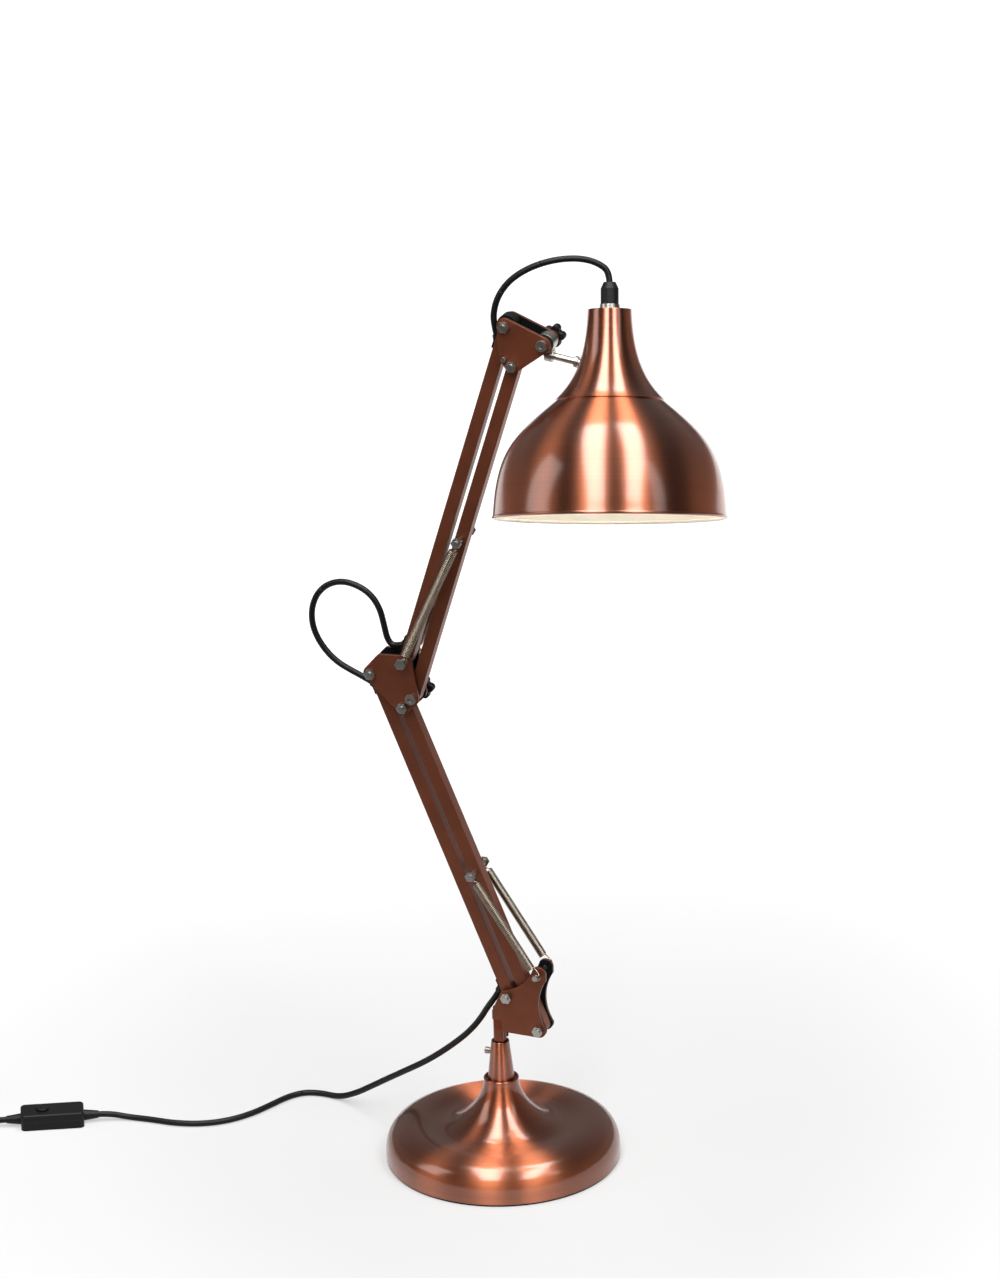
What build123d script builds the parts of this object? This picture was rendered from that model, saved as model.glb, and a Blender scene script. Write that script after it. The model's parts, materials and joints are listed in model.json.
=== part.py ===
from build123d import *
import os
from math import cos, pi, radians, sin, sqrt, tan

# Articulated desk lamp: weighted base, two parallel-link spring arms, spun shade and mains lead.
# Millimetres. +Z is up and the origin is the centre of the base's underside, on the table.
# +X is forward, towards the shade. Both arms lie in the XZ plane, with the pivot nuts on the -Y
# side and the clamp knobs on the +Y side.

# Base: a spun cover over a cast weight, on a felt pad
base_radius = 95.0
sheet = 1.2
pad_thickness = 4.0
cover_lift = 2.0
edge_height = 9.0
shoulder_radius = 70.0
shoulder_height = 31.5
shoulder_bulge = 13.0
shoulder_reach = 18.0
dish_radius = 50.0
dish_height = 29.5
flare_radius = 37.0
flare_height = 50.0
mouth_radius = 14.0
mouth_height = 70.0
mouth_rim = 0.9
weight_top = 24.0
weight_gap = 3.0
weight_slope = 20.0
pocket_radius = 12.0
pocket_depth = 8.0

# Stem: a tapered socket on a tie rod, with a bush that turns the bracket's post
socket_bottom_radius = 11.0
socket_top_radius = 7.3
socket_height = 34.0
tie_radius = 4.0
tie_grip = 7.0
tie_nut_radius = 6.5
bush_wall = 0.6
post_radius = 5.2
post_top_gap = 14.0
stem_screw_drop = 10.5
stem_screw_radius = 2.0
stem_screw_head = 2.7
stem_screw_proud = 3.2

# Linkage: pivots A and B on the base bracket, C D E F on the elbow, G H I on the head
pivot_a_x = 10.5
pivot_a_height = 146.0
lower_arm = 287.0
lower_lean = 21.9
lower_crank_x = 26.2
lower_crank_drop = 25.8
elbow_step_x = 28.1
elbow_step_up = 13.0
upper_arm = 298.0
upper_lean = 18.0
upper_crank_x = 5.4
upper_crank_drop = 31.0
eye_step_x = 30.5
eye_step_drop = 12.8

# Square tubes and their nylon end plugs
tube_size = 10.0
tube_wall = 1.0
plug_reach = 6.0
knuckle_radius = 7.6
knuckle_reach = 16.0

# Bracket plates, nylon liners, bolts and fits
plate_inner = 8.2
plate_thickness = 1.8
liner_thickness = 1.5
liner_gap = 0.3
boss_radius = 4.6
bolt_radius = 2.5
running_fit = 0.05
seat_fit = 0.02
open_pivot_fit = 0.25
nut_across = 8.0
nut_height = 4.0
bolt_end = 1.2
head_radius = 4.4
head_height = 2.8
plate_corner = 6.3
small_corner = 3.5

# Base bracket's plates: their tails on the post, spring anchor and scooped edges
tail_width = 7.0
tail_shift = 1.5
tail_relief = 0.5
tail_inner = 4.7
tail_lift = 1.5
joggle = 10.0
anchor_x = 27.0
anchor_rise = 22.8
scoop_radius = 34.0
scoop_land = 1.5
waist_radius = 40.0
waist_x = 39.5
waist_drop = 27.0

# Elbow plates' two top corners, from pivots C and F
elbow_back_x = 8.0
elbow_back_up = 13.2
elbow_front_x = 3.0
elbow_front_up = 0.6

# Springs and the cross pins that hold them
spring_mean_radius = 3.0
wire = 1.2
spring_plane = 14.3
spring_curls = 22
hook_rise = 7.5
lower_pin_reach = 140.0
upper_pin_reach = 143.5
anchor_pin_radius = 1.5
sleeve_radius = 2.3
sleeve_length = 2.6
cross_pin_radius = 2.3
pin_nut_radius = 3.7
pin_nut_height = 2.4
pin_end = 0.6
spring_gap = 0.35

# Star knobs on the clamp bolts
knob_radius = 9.3
lobe_radius = 3.1
web_radius = 6.9
knob_lobes = 5
knob_height = 11.0
hub_radius = 5.0
hub_height = 4.0
knob_skin = 1.0
key_across = 4.0

# Head: stop pin, yoke eye between the plates and the rod that carries the shade
stop_x = -6.0
stop_rise = 4.6
stop_radius = 1.9
stop_height = 2.4
eye_radius = 7.5
eye_gap = 0.35
rod_radius = 2.75
rod_drop = 9.9
rod_start = 7.1
rod_slope = 9.5
collar_radius = 5.0
collar_length = 3.0
rod_nut_radius = 4.4
rod_nut_height = 2.6
rod_nut_gap = 1.6
rod_end = 1.5
shade_reach = 53.0

# Shade: a spun neck lapped over a spun dome, turned about the rod
shade_angle = 104.9
shade_roll = 21.9
neck_above_rod = 46.5
neck_top_radius = 16.9
neck_flare = 1.1
neck_pull = 28.0
lip_radius = 41.8
lip_drop = 68.7
lip_pull = 26.0
lip_slope = 42.6
dome_drop = 158.7
dome_slope = 39.2
dome_pull = 42.0
rim_radius = 89.3
rim_pull = 50.0
rim_flare = 2.5
rim_bead = 1.3
lap = 6.0
lap_gap = 0.25

# Lampholder, lamp and cord gland on the shade's axis
nipple_radius = 5.0
holder_drop = 53.0
holder_radius = 18.5
holder_shoulder = 8.0
holder_height = 46.0
holder_floor = 18.0
bulb_radius = 22.5
bulb_cap_radius = 13.0
bulb_cap_fit = 0.6
bulb_reach = 51.0
gland_radius = 6.9
gland_tip = 4.6
gland_height = 17.0
gland_taper = 5.0
gland_grip = 3.0
gland_nut_radius = 7.7
gland_nut_height = 3.8

# Cord, and its ways out of the rear tubes: bend's distance from the pivot, angle, run past the bend
cord = 5.0
lower_foot_exit = (11.0, 53.0, 13.0)
lower_top_exit = (17.0, 42.0, 12.0)
upper_foot_exit = (14.0, 53.0, 9.0)
upper_top_exit = (24.0, 30.0, 14.0)
free_lead = 8.0
grommet_radius = 4.0
grommet_tip = 3.4
grommet_width = 8.0
grommet_foot = 15.0
grommet_foot_height = 1.6

# Switch, coil and plug on the mains lead
switch_centre = (-377.0, -52.3)
switch_heading = (-0.907, -0.422)
switch_length = 52.0
switch_width = 24.0
switch_height = 13.5
switch_split = 7.0
switch_corner = 4.0
switch_edge = 1.6
button_radius = 5.0
button_height = 4.0
button_proud = 1.8
button_offset = 8.0
button_gap = 0.3
relief_length = 12.0
relief_radius = 4.6
relief_tip = 3.1
relief_grip = 4.0
coil_centre = (-497.0, -38.0)
coil_turn = 30.0
coil_radius = 32.0
coil_step = 2.8
coil_rise = 5.6
coil_lift = 1.0
coil_halves = (2, 3, 3, 3)
tie_width = 8.0
tie_thickness = 0.7
tie_gap = 0.3
plug_mouth = (-500.0, 42.0)
plug_heading = (-0.5, 0.866)
plug_length = 36.0
plug_width = 27.0
plug_neck = 13.0
plug_thickness = 14.0
plug_chamfer = 2.0
pin_radius = 2.0
pin_length = 19.0
pin_depth = 8.0
pin_spacing = 18.6

# Free cords' routes: points chosen by hand between their fixed ends
cord_z = cord / 2 + 0.1
mains_route = [
    (-10.8, 2.6, 129.6), (-19.6, 6.2, 115.2), (-31.5, 10.5, 100.6), (-45.5, 15.8, 87.0), (-61.0, 21.4, 73.4),
    (-78.0, 27.6, 60.0), (-96.0, 34.2, 47.6), (-115.0, 41.0, 34.6), (-133.5, 47.6, 21.6),
    (-150.0, 53.4, 10.4),
    (-166.5, 58.6, cord_z), (-183.0, 61.4, cord_z), (-197.6, 58.6, cord_z), (-207.6, 46.6, cord_z),
    (-215.0, 28.4, cord_z), (-223.6, 8.6, cord_z), (-237.0, -9.6, cord_z), (-255.4, -22.0, cord_z),
    (-277.6, -27.4, cord_z), (-300.0, -26.6, cord_z), (-318.6, -27.6, cord_z)]
elbow_route = [
    (-22.45, 0.0, -2.29), (-32.45, 0.0, 2.91), (-41.45, 0.0, 11.21), (-48.45, 0.0, 21.51),
    (-52.65, 0.0, 33.71), (-52.05, 0.0, 47.71), (-46.45, 0.0, 60.21), (-36.45, 0.0, 68.71),
    (-23.95, 0.0, 71.71), (-10.95, 0.0, 68.71), (-0.45, 0.0, 61.71), (6.05, 0.0, 50.71),
    (8.75, 0.0, 38.21), (11.15, 0.0, 26.21)]
head_route = [
    (-12.44, 1.0, 6.30), (-10.64, 2.4, 15.50), (-6.04, 4.4, 25.10), (1.56, 7.2, 33.70),
    (12.56, 11.0, 40.90), (25.86, 15.0, 46.10), (40.16, 19.0, 48.80), (53.96, 22.6, 48.60),
    (64.76, 25.4, 45.10)]
tail_route = [(-433.0, -71.5, cord_z), (-445.5, -64.5, cord_z), (-455.0, -50.0, cord_z + 0.5)]
plug_route = [(-475.5, -2.0, 18.0), (-482.0, 9.4, 13.5), (-487.5, 19.6, 9.2)]


def in_plane(x, z):
    """A point or a step in the arm plane."""
    return Vector(x, 0, z)


def leaning(angle):
    """Unit direction in the arm plane, leaning forward from upright."""
    return in_plane(sin(radians(angle)), cos(radians(angle)))


# Pivots, pins and axes worked out from the linkage
lower_dir = leaning(-lower_lean)
upper_dir = leaning(upper_lean)
A = in_plane(pivot_a_x, pivot_a_height)
B = A + in_plane(lower_crank_x, -lower_crank_drop)
C = A + lower_dir * lower_arm
D = B + lower_dir * lower_arm
F = C + in_plane(elbow_step_x, elbow_step_up)
E = F + in_plane(upper_crank_x, -upper_crank_drop)
G = F + upper_dir * upper_arm
H = E + upper_dir * upper_arm
I = G + in_plane(eye_step_x, -eye_step_drop)
stop = H + in_plane(stop_x, stop_rise)
anchor = A + in_plane(anchor_x, anchor_rise)
lower_pin = B + lower_dir * lower_pin_reach
upper_pin = E + upper_dir * upper_pin_reach
plate_outer = plate_inner + plate_thickness
liner_inner = plate_inner - liner_thickness
tube_half = tube_size / 2
bore_half = tube_half - tube_wall
boss_face = tube_half + liner_gap
rod_dir = leaning(90 + rod_slope)
rod_up = leaning(rod_slope)
rod_foot = I - rod_up * rod_drop
shade_point = rod_foot + rod_dir * shade_reach
shade_tilt = rod_up * cos(radians(shade_roll)) + Vector(0, sin(radians(shade_roll)), 0)
shade_axis = rod_dir * cos(radians(shade_angle)) + shade_tilt * sin(radians(shade_angle))
rod_plane = Plane(origin=rod_foot, z_dir=rod_dir)
shade_plane = Plane(origin=shade_point + shade_axis * neck_above_rod, x_dir=Vector(0, 1, 0).cross(shade_axis),
                    z_dir=shade_axis)
lower_plane = Plane(origin=A, x_dir=lower_dir, z_dir=(0, -1, 0))
upper_plane = Plane(origin=F, x_dir=upper_dir, z_dir=(0, -1, 0))
switch_plane = Plane(origin=(*switch_centre, 0), x_dir=(*switch_heading, 0), z_dir=(0, 0, 1))
plug_plane = Plane(origin=(*plug_mouth, plug_thickness / 2), x_dir=(*plug_heading, 0), z_dir=(0, 0, 1))
coil_x_dir = (cos(radians(coil_turn)), sin(radians(coil_turn)), 0)
coil_plane = Plane(origin=(*coil_centre, 0), x_dir=coil_x_dir, z_dir=(0, 0, 1))
seat_top = mouth_height - sheet
socket_floor = seat_top + tie_grip
socket_top = seat_top + socket_height
pocket_top = pad_thickness + pocket_depth
tie_hole = tie_radius + running_fit
standing = (Align.CENTER, Align.CENTER, Align.MIN)
nodes = {}


def slab(outline, low, high):
    """Extrude an outline drawn in X and Z between two values of Y."""
    return extrude(Plane.XZ.offset(-high) * outline, amount=high - low)


def both_sides(outline, near, far):
    """The same slab on each side of the arm plane."""
    return [slab(outline, -far, -near), slab(outline, near, far)]


def disc(at, radius):
    """Circle in the arm plane."""
    return Pos(at.X, at.Z) * Circle(radius)


def hexagon(at, across):
    """Hexagon in the arm plane, by its width across flats."""
    return Pos(at.X, at.Z) * RegularPolygon(across / 2, 6, major_radius=False)


def pin(at, radius, low, high):
    """Cylinder along Y."""
    return slab(disc(at, radius), low, high)


def hull(*circles):
    """Outline drawn tight round a set of discs."""
    return make_hull([edge for circle in circles for edge in circle.edges()])


def turned(points):
    """Solid of revolution about Z from a polygon of radius and height."""
    return revolve(Plane.XZ * make_face(Polyline(*points, close=True)), Axis.Z)


def spun(outer, inner):
    """Sheet spun about Z between an outer and an inner line."""
    ends = [Line(outer[0] @ 0, inner[0] @ 0), Line(outer[-1] @ 1, inner[-1] @ 1)]
    return revolve(Plane.XZ * make_face(outer + inner + ends), Axis.Z)


def swept(edges, radius):
    """Round tube along edges that meet tangentially, and its path."""
    path = Wire(edges)
    tube = sweep(Plane(origin=path @ 0, z_dir=path % 0) * Circle(radius), path=path)
    share = tube.volume / (pi * radius**2 * path.length)
    print(f"  length {path.length:.1f}, volume over section times length {share:.4f}")
    return tube, path


def corner_radii(spots):
    """Radius for each corner of a route: nearly half of its shorter run goes into the bend."""
    radii = []
    for before, here, after in zip(spots, spots[1:], spots[2:]):
        run = min((here - before).length, (after - here).length)
        turn = radians((here - before).get_angle(after - here))
        radii.append(0.45 * run / tan(turn / 2))
    return radii


def cord_tube(name, points):
    """Cord along straight runs joined by tangent arcs."""
    spots = [Vector(*point) for point in points]
    radii = corner_radii(spots)
    print(name, "least radius", round(min(radii), 1), "of", [round(radius) for radius in radii])
    return swept(FilletPolyline(*spots, radius=radii).edges(), cord / 2)


def biarc(start, start_dir, end, end_dir):
    """Two tangent arcs between two points with given directions."""
    step, both = end - start, start_dir + end_dir
    spread = 2 * (1 - start_dir.dot(end_dir))
    reach = (-step.dot(both) + sqrt(step.dot(both)**2 + spread * step.dot(step))) / spread
    middle = (start + end + (start_dir - end_dir) * reach) / 2
    middle_dir = ((end - end_dir * reach) - (start + start_dir * reach)).normalized()
    return [TangentArc(start, middle, tangent=start_dir), TangentArc(middle, end, tangent=middle_dir)]


def least_gap(path, thickness, spacing):
    """Least clear gap between turns of a path, measured on points along it."""
    count = int(path.length / spacing)
    spots = [path @ (i / count) for i in range(count + 1)]
    apart = int(4 * thickness / spacing)
    pairs = ((spots[i], spots[j]) for i in range(count) for j in range(i + apart, count + 1))
    return min((a - b).length for a, b in pairs) - thickness


def base_curve(inset):
    """Cover's section from its foot to its mouth, moved in by a thickness."""
    edge_x, mouth_x = base_radius - inset, mouth_radius - inset
    top_z, dish_z = shoulder_height - inset, dish_height - inset
    middle_x = (shoulder_radius + dish_radius) / 2
    mouth = (mouth_x, mouth_height)
    return [
        Line((edge_x, cover_lift), (edge_x, edge_height)),
        Bezier((edge_x, edge_height), (edge_x, edge_height + shoulder_bulge),
               (shoulder_radius + shoulder_reach, top_z), (shoulder_radius, top_z)),
        Bezier((shoulder_radius, top_z), (middle_x, top_z), (middle_x, dish_z), (dish_radius, dish_z)),
        Bezier((dish_radius, dish_z), (flare_radius, dish_z), (mouth_x, flare_height - inset), mouth)]


def make_base():
    cover = spun(base_curve(0), base_curve(sheet))
    seat = Pos(0, 0, seat_top - sheet) * Cylinder(mouth_radius - sheet / 2, sheet, align=standing)
    bead = revolve(Plane.XZ * Pos(mouth_radius - sheet / 2, mouth_height) * Circle(mouth_rim), Axis.Z)
    nodes["base_cover"] = cover + seat + bead - Cylinder(tie_radius + open_pivot_fit, 2 * mouth_height)
    nodes["base_pad"] = Cylinder(base_radius - sheet - liner_gap, pad_thickness, align=standing)
    weight_radius = base_radius - sheet - weight_gap
    nodes["base_weight"] = turned([
        (tie_hole, pocket_top), (pocket_radius, pocket_top), (pocket_radius, pad_thickness),
        (weight_radius, pad_thickness), (weight_radius, edge_height),
        (weight_radius - weight_slope, weight_top), (tie_hole, weight_top)])


def make_stem():
    """Socket on the cover's mouth, drawn down by a tie rod through the weight."""
    bore = post_radius + running_fit
    bush_radius = bore + bush_wall
    socket = turned([
        (tie_hole, seat_top), (socket_bottom_radius, seat_top), (socket_top_radius, socket_top),
        (bush_radius + seat_fit, socket_top), (bush_radius + seat_fit, socket_floor),
        (tie_hole, socket_floor)])
    screw_plane = Plane(origin=(-bush_radius - seat_fit, 0, socket_top - stem_screw_drop), z_dir=(-1, 0, 0))
    taper = (socket_bottom_radius - socket_top_radius) / socket_height
    shank = socket_top_radius + taper * stem_screw_drop - bush_radius + sheet
    screw = extrude(screw_plane * Circle(stem_screw_radius), amount=shank)
    screw += extrude(screw_plane.offset(shank) * Circle(stem_screw_head), amount=stem_screw_proud)
    screw_hole = Circle(stem_screw_radius + seat_fit)
    drill = extrude(screw_plane.offset(-sheet) * screw_hole, amount=socket_bottom_radius)
    nodes["stem_socket"] = socket - drill
    bush_top = socket_top + bush_wall
    nodes["stem_bush"] = turned([
        (bore, socket_floor), (bush_radius, socket_floor), (bush_radius, bush_top), (bore, bush_top)])
    rod_low = pad_thickness + sheet
    rod = Pos(0, 0, rod_low) * Cylinder(tie_radius, socket_floor - rod_low, align=standing)
    washer_low = pocket_top - sheet
    washer = Pos(0, 0, washer_low) * Cylinder(pocket_radius - sheet, sheet, align=standing)
    washer -= Cylinder(tie_hole, 4 * pocket_top)
    flats = RegularPolygon(tie_nut_radius, 6, major_radius=False) - Circle(tie_hole)
    nut = extrude(Plane.XY.offset(rod_low) * flats, amount=washer_low - rod_low)
    nodes["stem_fixings"] = Compound(children=[rod, washer, nut, screw])


def pivot_bolt(at):
    """Bolt along Y: domed head behind, hexagon nut in front with the bolt's end through it."""
    front = -plate_outer - nut_height
    shank = pin(at, bolt_radius, front - bolt_end, plate_outer)
    dome = pin(at, head_radius, plate_outer, plate_outer + head_height)
    dome = fillet(dome.edges().filter_by(GeomType.CIRCLE).sort_by(Axis.Y)[-1], 0.7 * head_height)
    nut = slab(hexagon(at, nut_across) - disc(at, bolt_radius + seat_fit), front, -plate_outer)
    return [shank + dome, nut]


def clamp_bolt(at):
    """Bolt along Y with a socket head in front and a plain end behind for a knob."""
    top = -plate_outer - head_height
    bolt = pin(at, bolt_radius, -plate_outer, plate_outer + knob_height - knob_skin)
    bolt += pin(at, head_radius, top, -plate_outer)
    return bolt - slab(hexagon(at, key_across), top, top + head_height / 2)


def star_knob(at):
    low = plate_outer + liner_gap
    high = low + knob_height
    lobes = PolarLocations(knob_radius - lobe_radius, knob_lobes) * Circle(lobe_radius)
    star = Pos(at.X, at.Z) * (Circle(web_radius) + lobes)
    knob = slab(star, low + hub_height, high) + pin(at, hub_radius, low, low + hub_height)
    return knob - pin(at, bolt_radius + running_fit, low - knob_skin, high - knob_skin)


def make_bracket(name, outline, liner_outline, pivots, pins):
    """Front and back plates, and a nylon liner on each with a boss at every pivot."""
    drills = [pin(at, bolt_radius + seat_fit, -2 * plate_outer, 2 * plate_outer) for at in pivots]
    drills += [pin(at, anchor_pin_radius + seat_fit, -2 * plate_outer, 2 * plate_outer) for at in pins]
    front, back = both_sides(outline, plate_inner, plate_outer)
    liners = both_sides(liner_outline, liner_inner, plate_inner)
    for at in pivots:
        for side, boss in enumerate(both_sides(disc(at, boss_radius), boss_face, liner_inner)):
            liners[side] += boss
    nodes[f"{name}_front"] = front - drills
    nodes[f"{name}_back"] = back - drills
    nodes[f"{name}_liners"] = Compound(children=[liner - drills for liner in liners])


def make_base_bracket():
    """Plates that hold the lower arm, with tails joggled in to the flats of the post."""
    tail_left = tail_shift - tail_width / 2
    corner_x = tail_left - tail_relief + small_corner
    low_corner = in_plane(corner_x, B.Z - plate_corner + small_corner + tail_lift)
    back_corner = in_plane(low_corner.X, A.Z - post_top_gap)
    ends = [disc(A, plate_corner), disc(anchor, plate_corner), disc(B, plate_corner)]
    body = hull(*ends, disc(low_corner, small_corner), disc(back_corner, small_corner))
    normal = in_plane(-anchor_rise, anchor_x).normalized()
    scoop = disc((A + anchor) / 2 + normal * (scoop_radius + scoop_land), scoop_radius)
    waist = disc(anchor + in_plane(waist_x, -waist_drop), waist_radius)
    make_bracket("base_bracket", body - scoop - waist, hull(*ends) - scoop - waist, [A, B], [anchor])
    bend_low = low_corner.Z - small_corner
    bend_high = bend_low + joggle
    tail_low = socket_top + tail_lift
    tail_outer = tail_inner + plate_thickness
    strip = [(plate_outer, bend_high), (tail_outer, bend_low), (tail_outer, tail_low),
             (tail_inner, tail_low), (tail_inner, bend_low), (plate_inner, bend_high)]
    hanging = (Align.MAX, Align.CENTER, Align.MAX)
    window = Box(2 * tail_width, 4 * plate_outer, 4 * joggle, align=hanging)
    window = Pos(tail_left + tail_width + tail_relief, 0, bend_high) * window
    for side, sign in (("front", -1), ("back", 1)):
        section = make_face(Polyline(*[(sign * y, z) for y, z in strip], close=True))
        tail = extrude(Plane.YZ.offset(tail_left) * section, amount=tail_width)
        nodes[f"base_bracket_{side}"] = nodes[f"base_bracket_{side}"] - window + tail
    post_low = socket_floor + tail_lift
    post_top = A.Z - post_top_gap
    post = Pos(0, 0, post_low) * Cylinder(post_radius, post_top - post_low, align=standing)
    side_cut = Box(4 * post_radius, 2 * post_radius, post_top, align=standing)
    flats = [Pos(0, sign * (tail_inner + post_radius), tail_low) * side_cut for sign in (-1, 1)]
    nodes["bracket_post"] = post - flats
    nodes["base_bracket_bolts"] = Compound(children=pivot_bolt(A) + pivot_bolt(B))
    reach = spring_plane + sleeve_length / 2 + spring_gap
    studs = both_sides(disc(anchor, anchor_pin_radius), liner_inner, reach)
    caps = both_sides(disc(anchor, sleeve_radius), reach, reach + pin_nut_height)
    nodes["lower_spring_anchor"] = Compound(children=[stud + cap for stud, cap in zip(studs, caps)])


def square_tube(plane, length, fits, stop_short):
    """Square tube with cheeks rounded about its pivots and a hole through each."""
    outline = Pos(length / 2, 0) * SlotCenterToCenter(length, tube_size)
    tube = extrude(plane * outline, amount=tube_half, both=True)
    bore = Pos(length / 2, 0) * Rectangle(length + 2 * tube_size, 2 * bore_half)
    tube -= extrude(plane * bore, amount=bore_half, both=True)
    if stop_short:
        waste = Pos(length - stop_short + tube_size, 0) * Rectangle(2 * tube_size, 2 * tube_size)
        tube -= extrude(plane * waste, amount=tube_size, both=True)
    for x, fit in ((0, fits[0]), (length, fits[1])):
        tube -= extrude(plane * Pos(x, 0) * Circle(bolt_radius + fit), amount=tube_size, both=True)
    return tube


def end_plug(plane, x, inward, fit, knuckle):
    """Nylon plug in a tube's end with the pivot's hole, or a round knuckle past a tube that stops short."""
    half = bore_half - seat_fit
    reach = knuckle_reach if knuckle else plug_reach
    outline = Pos(x, 0) * Circle(half) + Pos(x + inward * reach / 2, 0) * Rectangle(reach, 2 * half)
    plug = extrude(plane * outline, amount=half, both=True)
    if knuckle:
        plug += extrude(plane * Pos(x, 0) * Circle(knuckle_radius), amount=tube_half, both=True)
    return plug - extrude(plane * Pos(x, 0) * Circle(bolt_radius + fit), amount=tube_size, both=True)


def exit_spots(length, way_out, at_top):
    """Bend and end of the cord's way out of a tube, in the tube's plane."""
    bend, angle, run = way_out
    spots = [(bend, 0), (bend - run * cos(radians(angle)), run * sin(radians(angle)))]
    return [(length - x, y) for x, y in spots] if at_top else spots


def crossing(spots):
    """Where the cord's way out crosses the tube's back face, and the sine of its angle there."""
    (bend_x, _), (end_x, end_y) = spots
    slope = end_y / sqrt((end_x - bend_x)**2 + end_y**2)
    return bend_x + (end_x - bend_x) * tube_half / end_y, slope


def grommet(plane, spots, bore):
    """Boot round the cord's way out, on a foot that lies along the tube's back face."""
    bend, end = [plane.from_local_coords(Vector(x, y, 0)) for x, y in spots]
    cross_x, _ = crossing(spots)
    cone = Cone(grommet_radius, grommet_tip, (end - bend).length - sheet, align=standing)
    boot = Plane(origin=bend, z_dir=end - bend).location * cone
    inside = Pos(cross_x, -tube_half) * Rectangle(4 * tube_size, 2 * tube_size)
    boot -= extrude(plane * inside, amount=tube_size, both=True)
    foot = Pos(cross_x, tube_half + grommet_foot_height / 2) * Rectangle(grommet_foot, grommet_foot_height)
    return boot + extrude(plane * foot, amount=grommet_width / 2, both=True) - bore


def exit_slot(plane, spots):
    """Slot in the tube's back wall for the cord's way out."""
    cross_x, slope = crossing(spots)
    slot = Pos(cross_x, tube_half) * Rectangle((cord + tube_wall) / slope + 4 * tube_wall, 4 * tube_wall)
    return extrude(plane * slot, amount=cord / 2 + liner_gap, both=True)


def make_rear_bar(name, plane, length, foot_exit, top_exit, knuckle):
    """Rear tube, its plugs, the cord inside it and the two grommets."""
    foot, top = exit_spots(length, foot_exit, False), exit_spots(length, top_exit, True)
    spots = [plane.from_local_coords(Vector(x, y, 0)) for x, y in (foot[1], foot[0], top[0], top[1])]
    run, path = cord_tube(f"{name}_cord_run", spots)
    bore, _ = swept(path.edges(), cord / 2 + seat_fit)
    for bend, end in ((spots[1], spots[0]), (spots[2], spots[3])):
        bore += extrude(Plane(origin=end, z_dir=end - bend) * Circle(cord / 2 + seat_fit), amount=free_lead)
    stop_short = knuckle_radius + liner_gap if knuckle else 0
    tube = square_tube(plane, length, (running_fit, running_fit), stop_short)
    nodes[f"{name}_rear_tube"] = tube - exit_slot(plane, foot) - exit_slot(plane, top)
    plugs = [end_plug(plane, 0, 1, running_fit, False), end_plug(plane, length, -1, running_fit, knuckle)]
    nodes[f"{name}_rear_plugs"] = Compound(children=[plug - bore for plug in plugs])
    nodes[f"{name}_cord_run"] = run
    nodes[f"{name}_grommets"] = Compound(children=[grommet(plane, foot, bore), grommet(plane, top, bore)])
    return spots


def make_front_bar(name, start, direction, length, pin_at):
    """Front tube, its plugs and the cross pin that carries the springs' far hooks."""
    plane = Plane(origin=start, x_dir=direction, z_dir=(0, -1, 0))
    tube = square_tube(plane, length, (running_fit, open_pivot_fit), 0)
    nodes[f"{name}_front_tube"] = tube - pin(pin_at, cross_pin_radius + seat_fit, -tube_size, tube_size)
    plugs = [end_plug(plane, 0, 1, running_fit, False), end_plug(plane, length, -1, open_pivot_fit, False)]
    nodes[f"{name}_front_plugs"] = Compound(children=plugs)
    reach = spring_plane + wire / 2 + spring_gap
    end = reach + pin_nut_height + pin_end
    nut = hexagon(pin_at, 2 * pin_nut_radius) - disc(pin_at, cross_pin_radius + seat_fit)
    nuts = both_sides(nut, reach, reach + pin_nut_height)
    nodes[f"{name}_spring_pin"] = Compound(children=[pin(pin_at, cross_pin_radius, -end, end)] + nuts)


def spring(start, end, side):
    """Extension spring between two pins: a hook, a coil of half turns and a hook, in one wire."""
    axis = (end - start).normalized()
    length = (end - start).length
    across, sideways = Vector(axis.Z, 0, -axis.X), Vector(0, 1, 0)
    origin = start + sideways * side * spring_plane
    r = spring_mean_radius
    coil = length - 2 * hook_rise
    slope = coil / spring_curls / (2 * pi * r)

    def at(x, y, z):
        return origin + across * x + sideways * y + axis * z

    def facing(x, z):
        return (across * x + axis * z).normalized()

    edges = [Line(at(-r, 0, wire), at(-r, 0, 0))]
    edges += biarc(at(-r, 0, 0), facing(0, -1), at(r, 0, 0), facing(0, 1))
    edges += biarc(at(r, 0, 0), facing(0, 1), at(0, r, hook_rise), facing(-1, slope))
    for half in range(2 * spring_curls):
        sign = 1 if half % 2 == 0 else -1
        low = hook_rise + coil * half / (2 * spring_curls)
        high = hook_rise + coil * (half + 1) / (2 * spring_curls)
        near, far = at(0, sign * r, low), at(0, -sign * r, high)
        edges += biarc(near, facing(-sign, slope), far, facing(sign, slope))
    edges += biarc(at(0, r, length - hook_rise), facing(-1, slope), at(-r, 0, length), facing(0, 1))
    edges += biarc(at(-r, 0, length), facing(0, 1), at(r, 0, length), facing(0, -1))
    edges += [Line(at(r, 0, length), at(r, 0, length - wire))]
    return swept(edges, wire / 2)


def make_springs(name, start, end):
    pair = [spring(start, end, side) for side in (-1, 1)]
    print(f"{name} springs, least gap {least_gap(pair[0][1], wire, wire / 3):.2f}")
    nodes[f"{name}_springs"] = Compound(children=[tube for tube, _ in pair])
    ring = disc(start, sleeve_radius) - disc(start, anchor_pin_radius + running_fit)
    near, far = spring_plane - sleeve_length / 2, spring_plane + sleeve_length / 2
    nodes[f"{name}_spring_sleeves"] = Compound(children=both_sides(ring, near, far))


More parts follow.
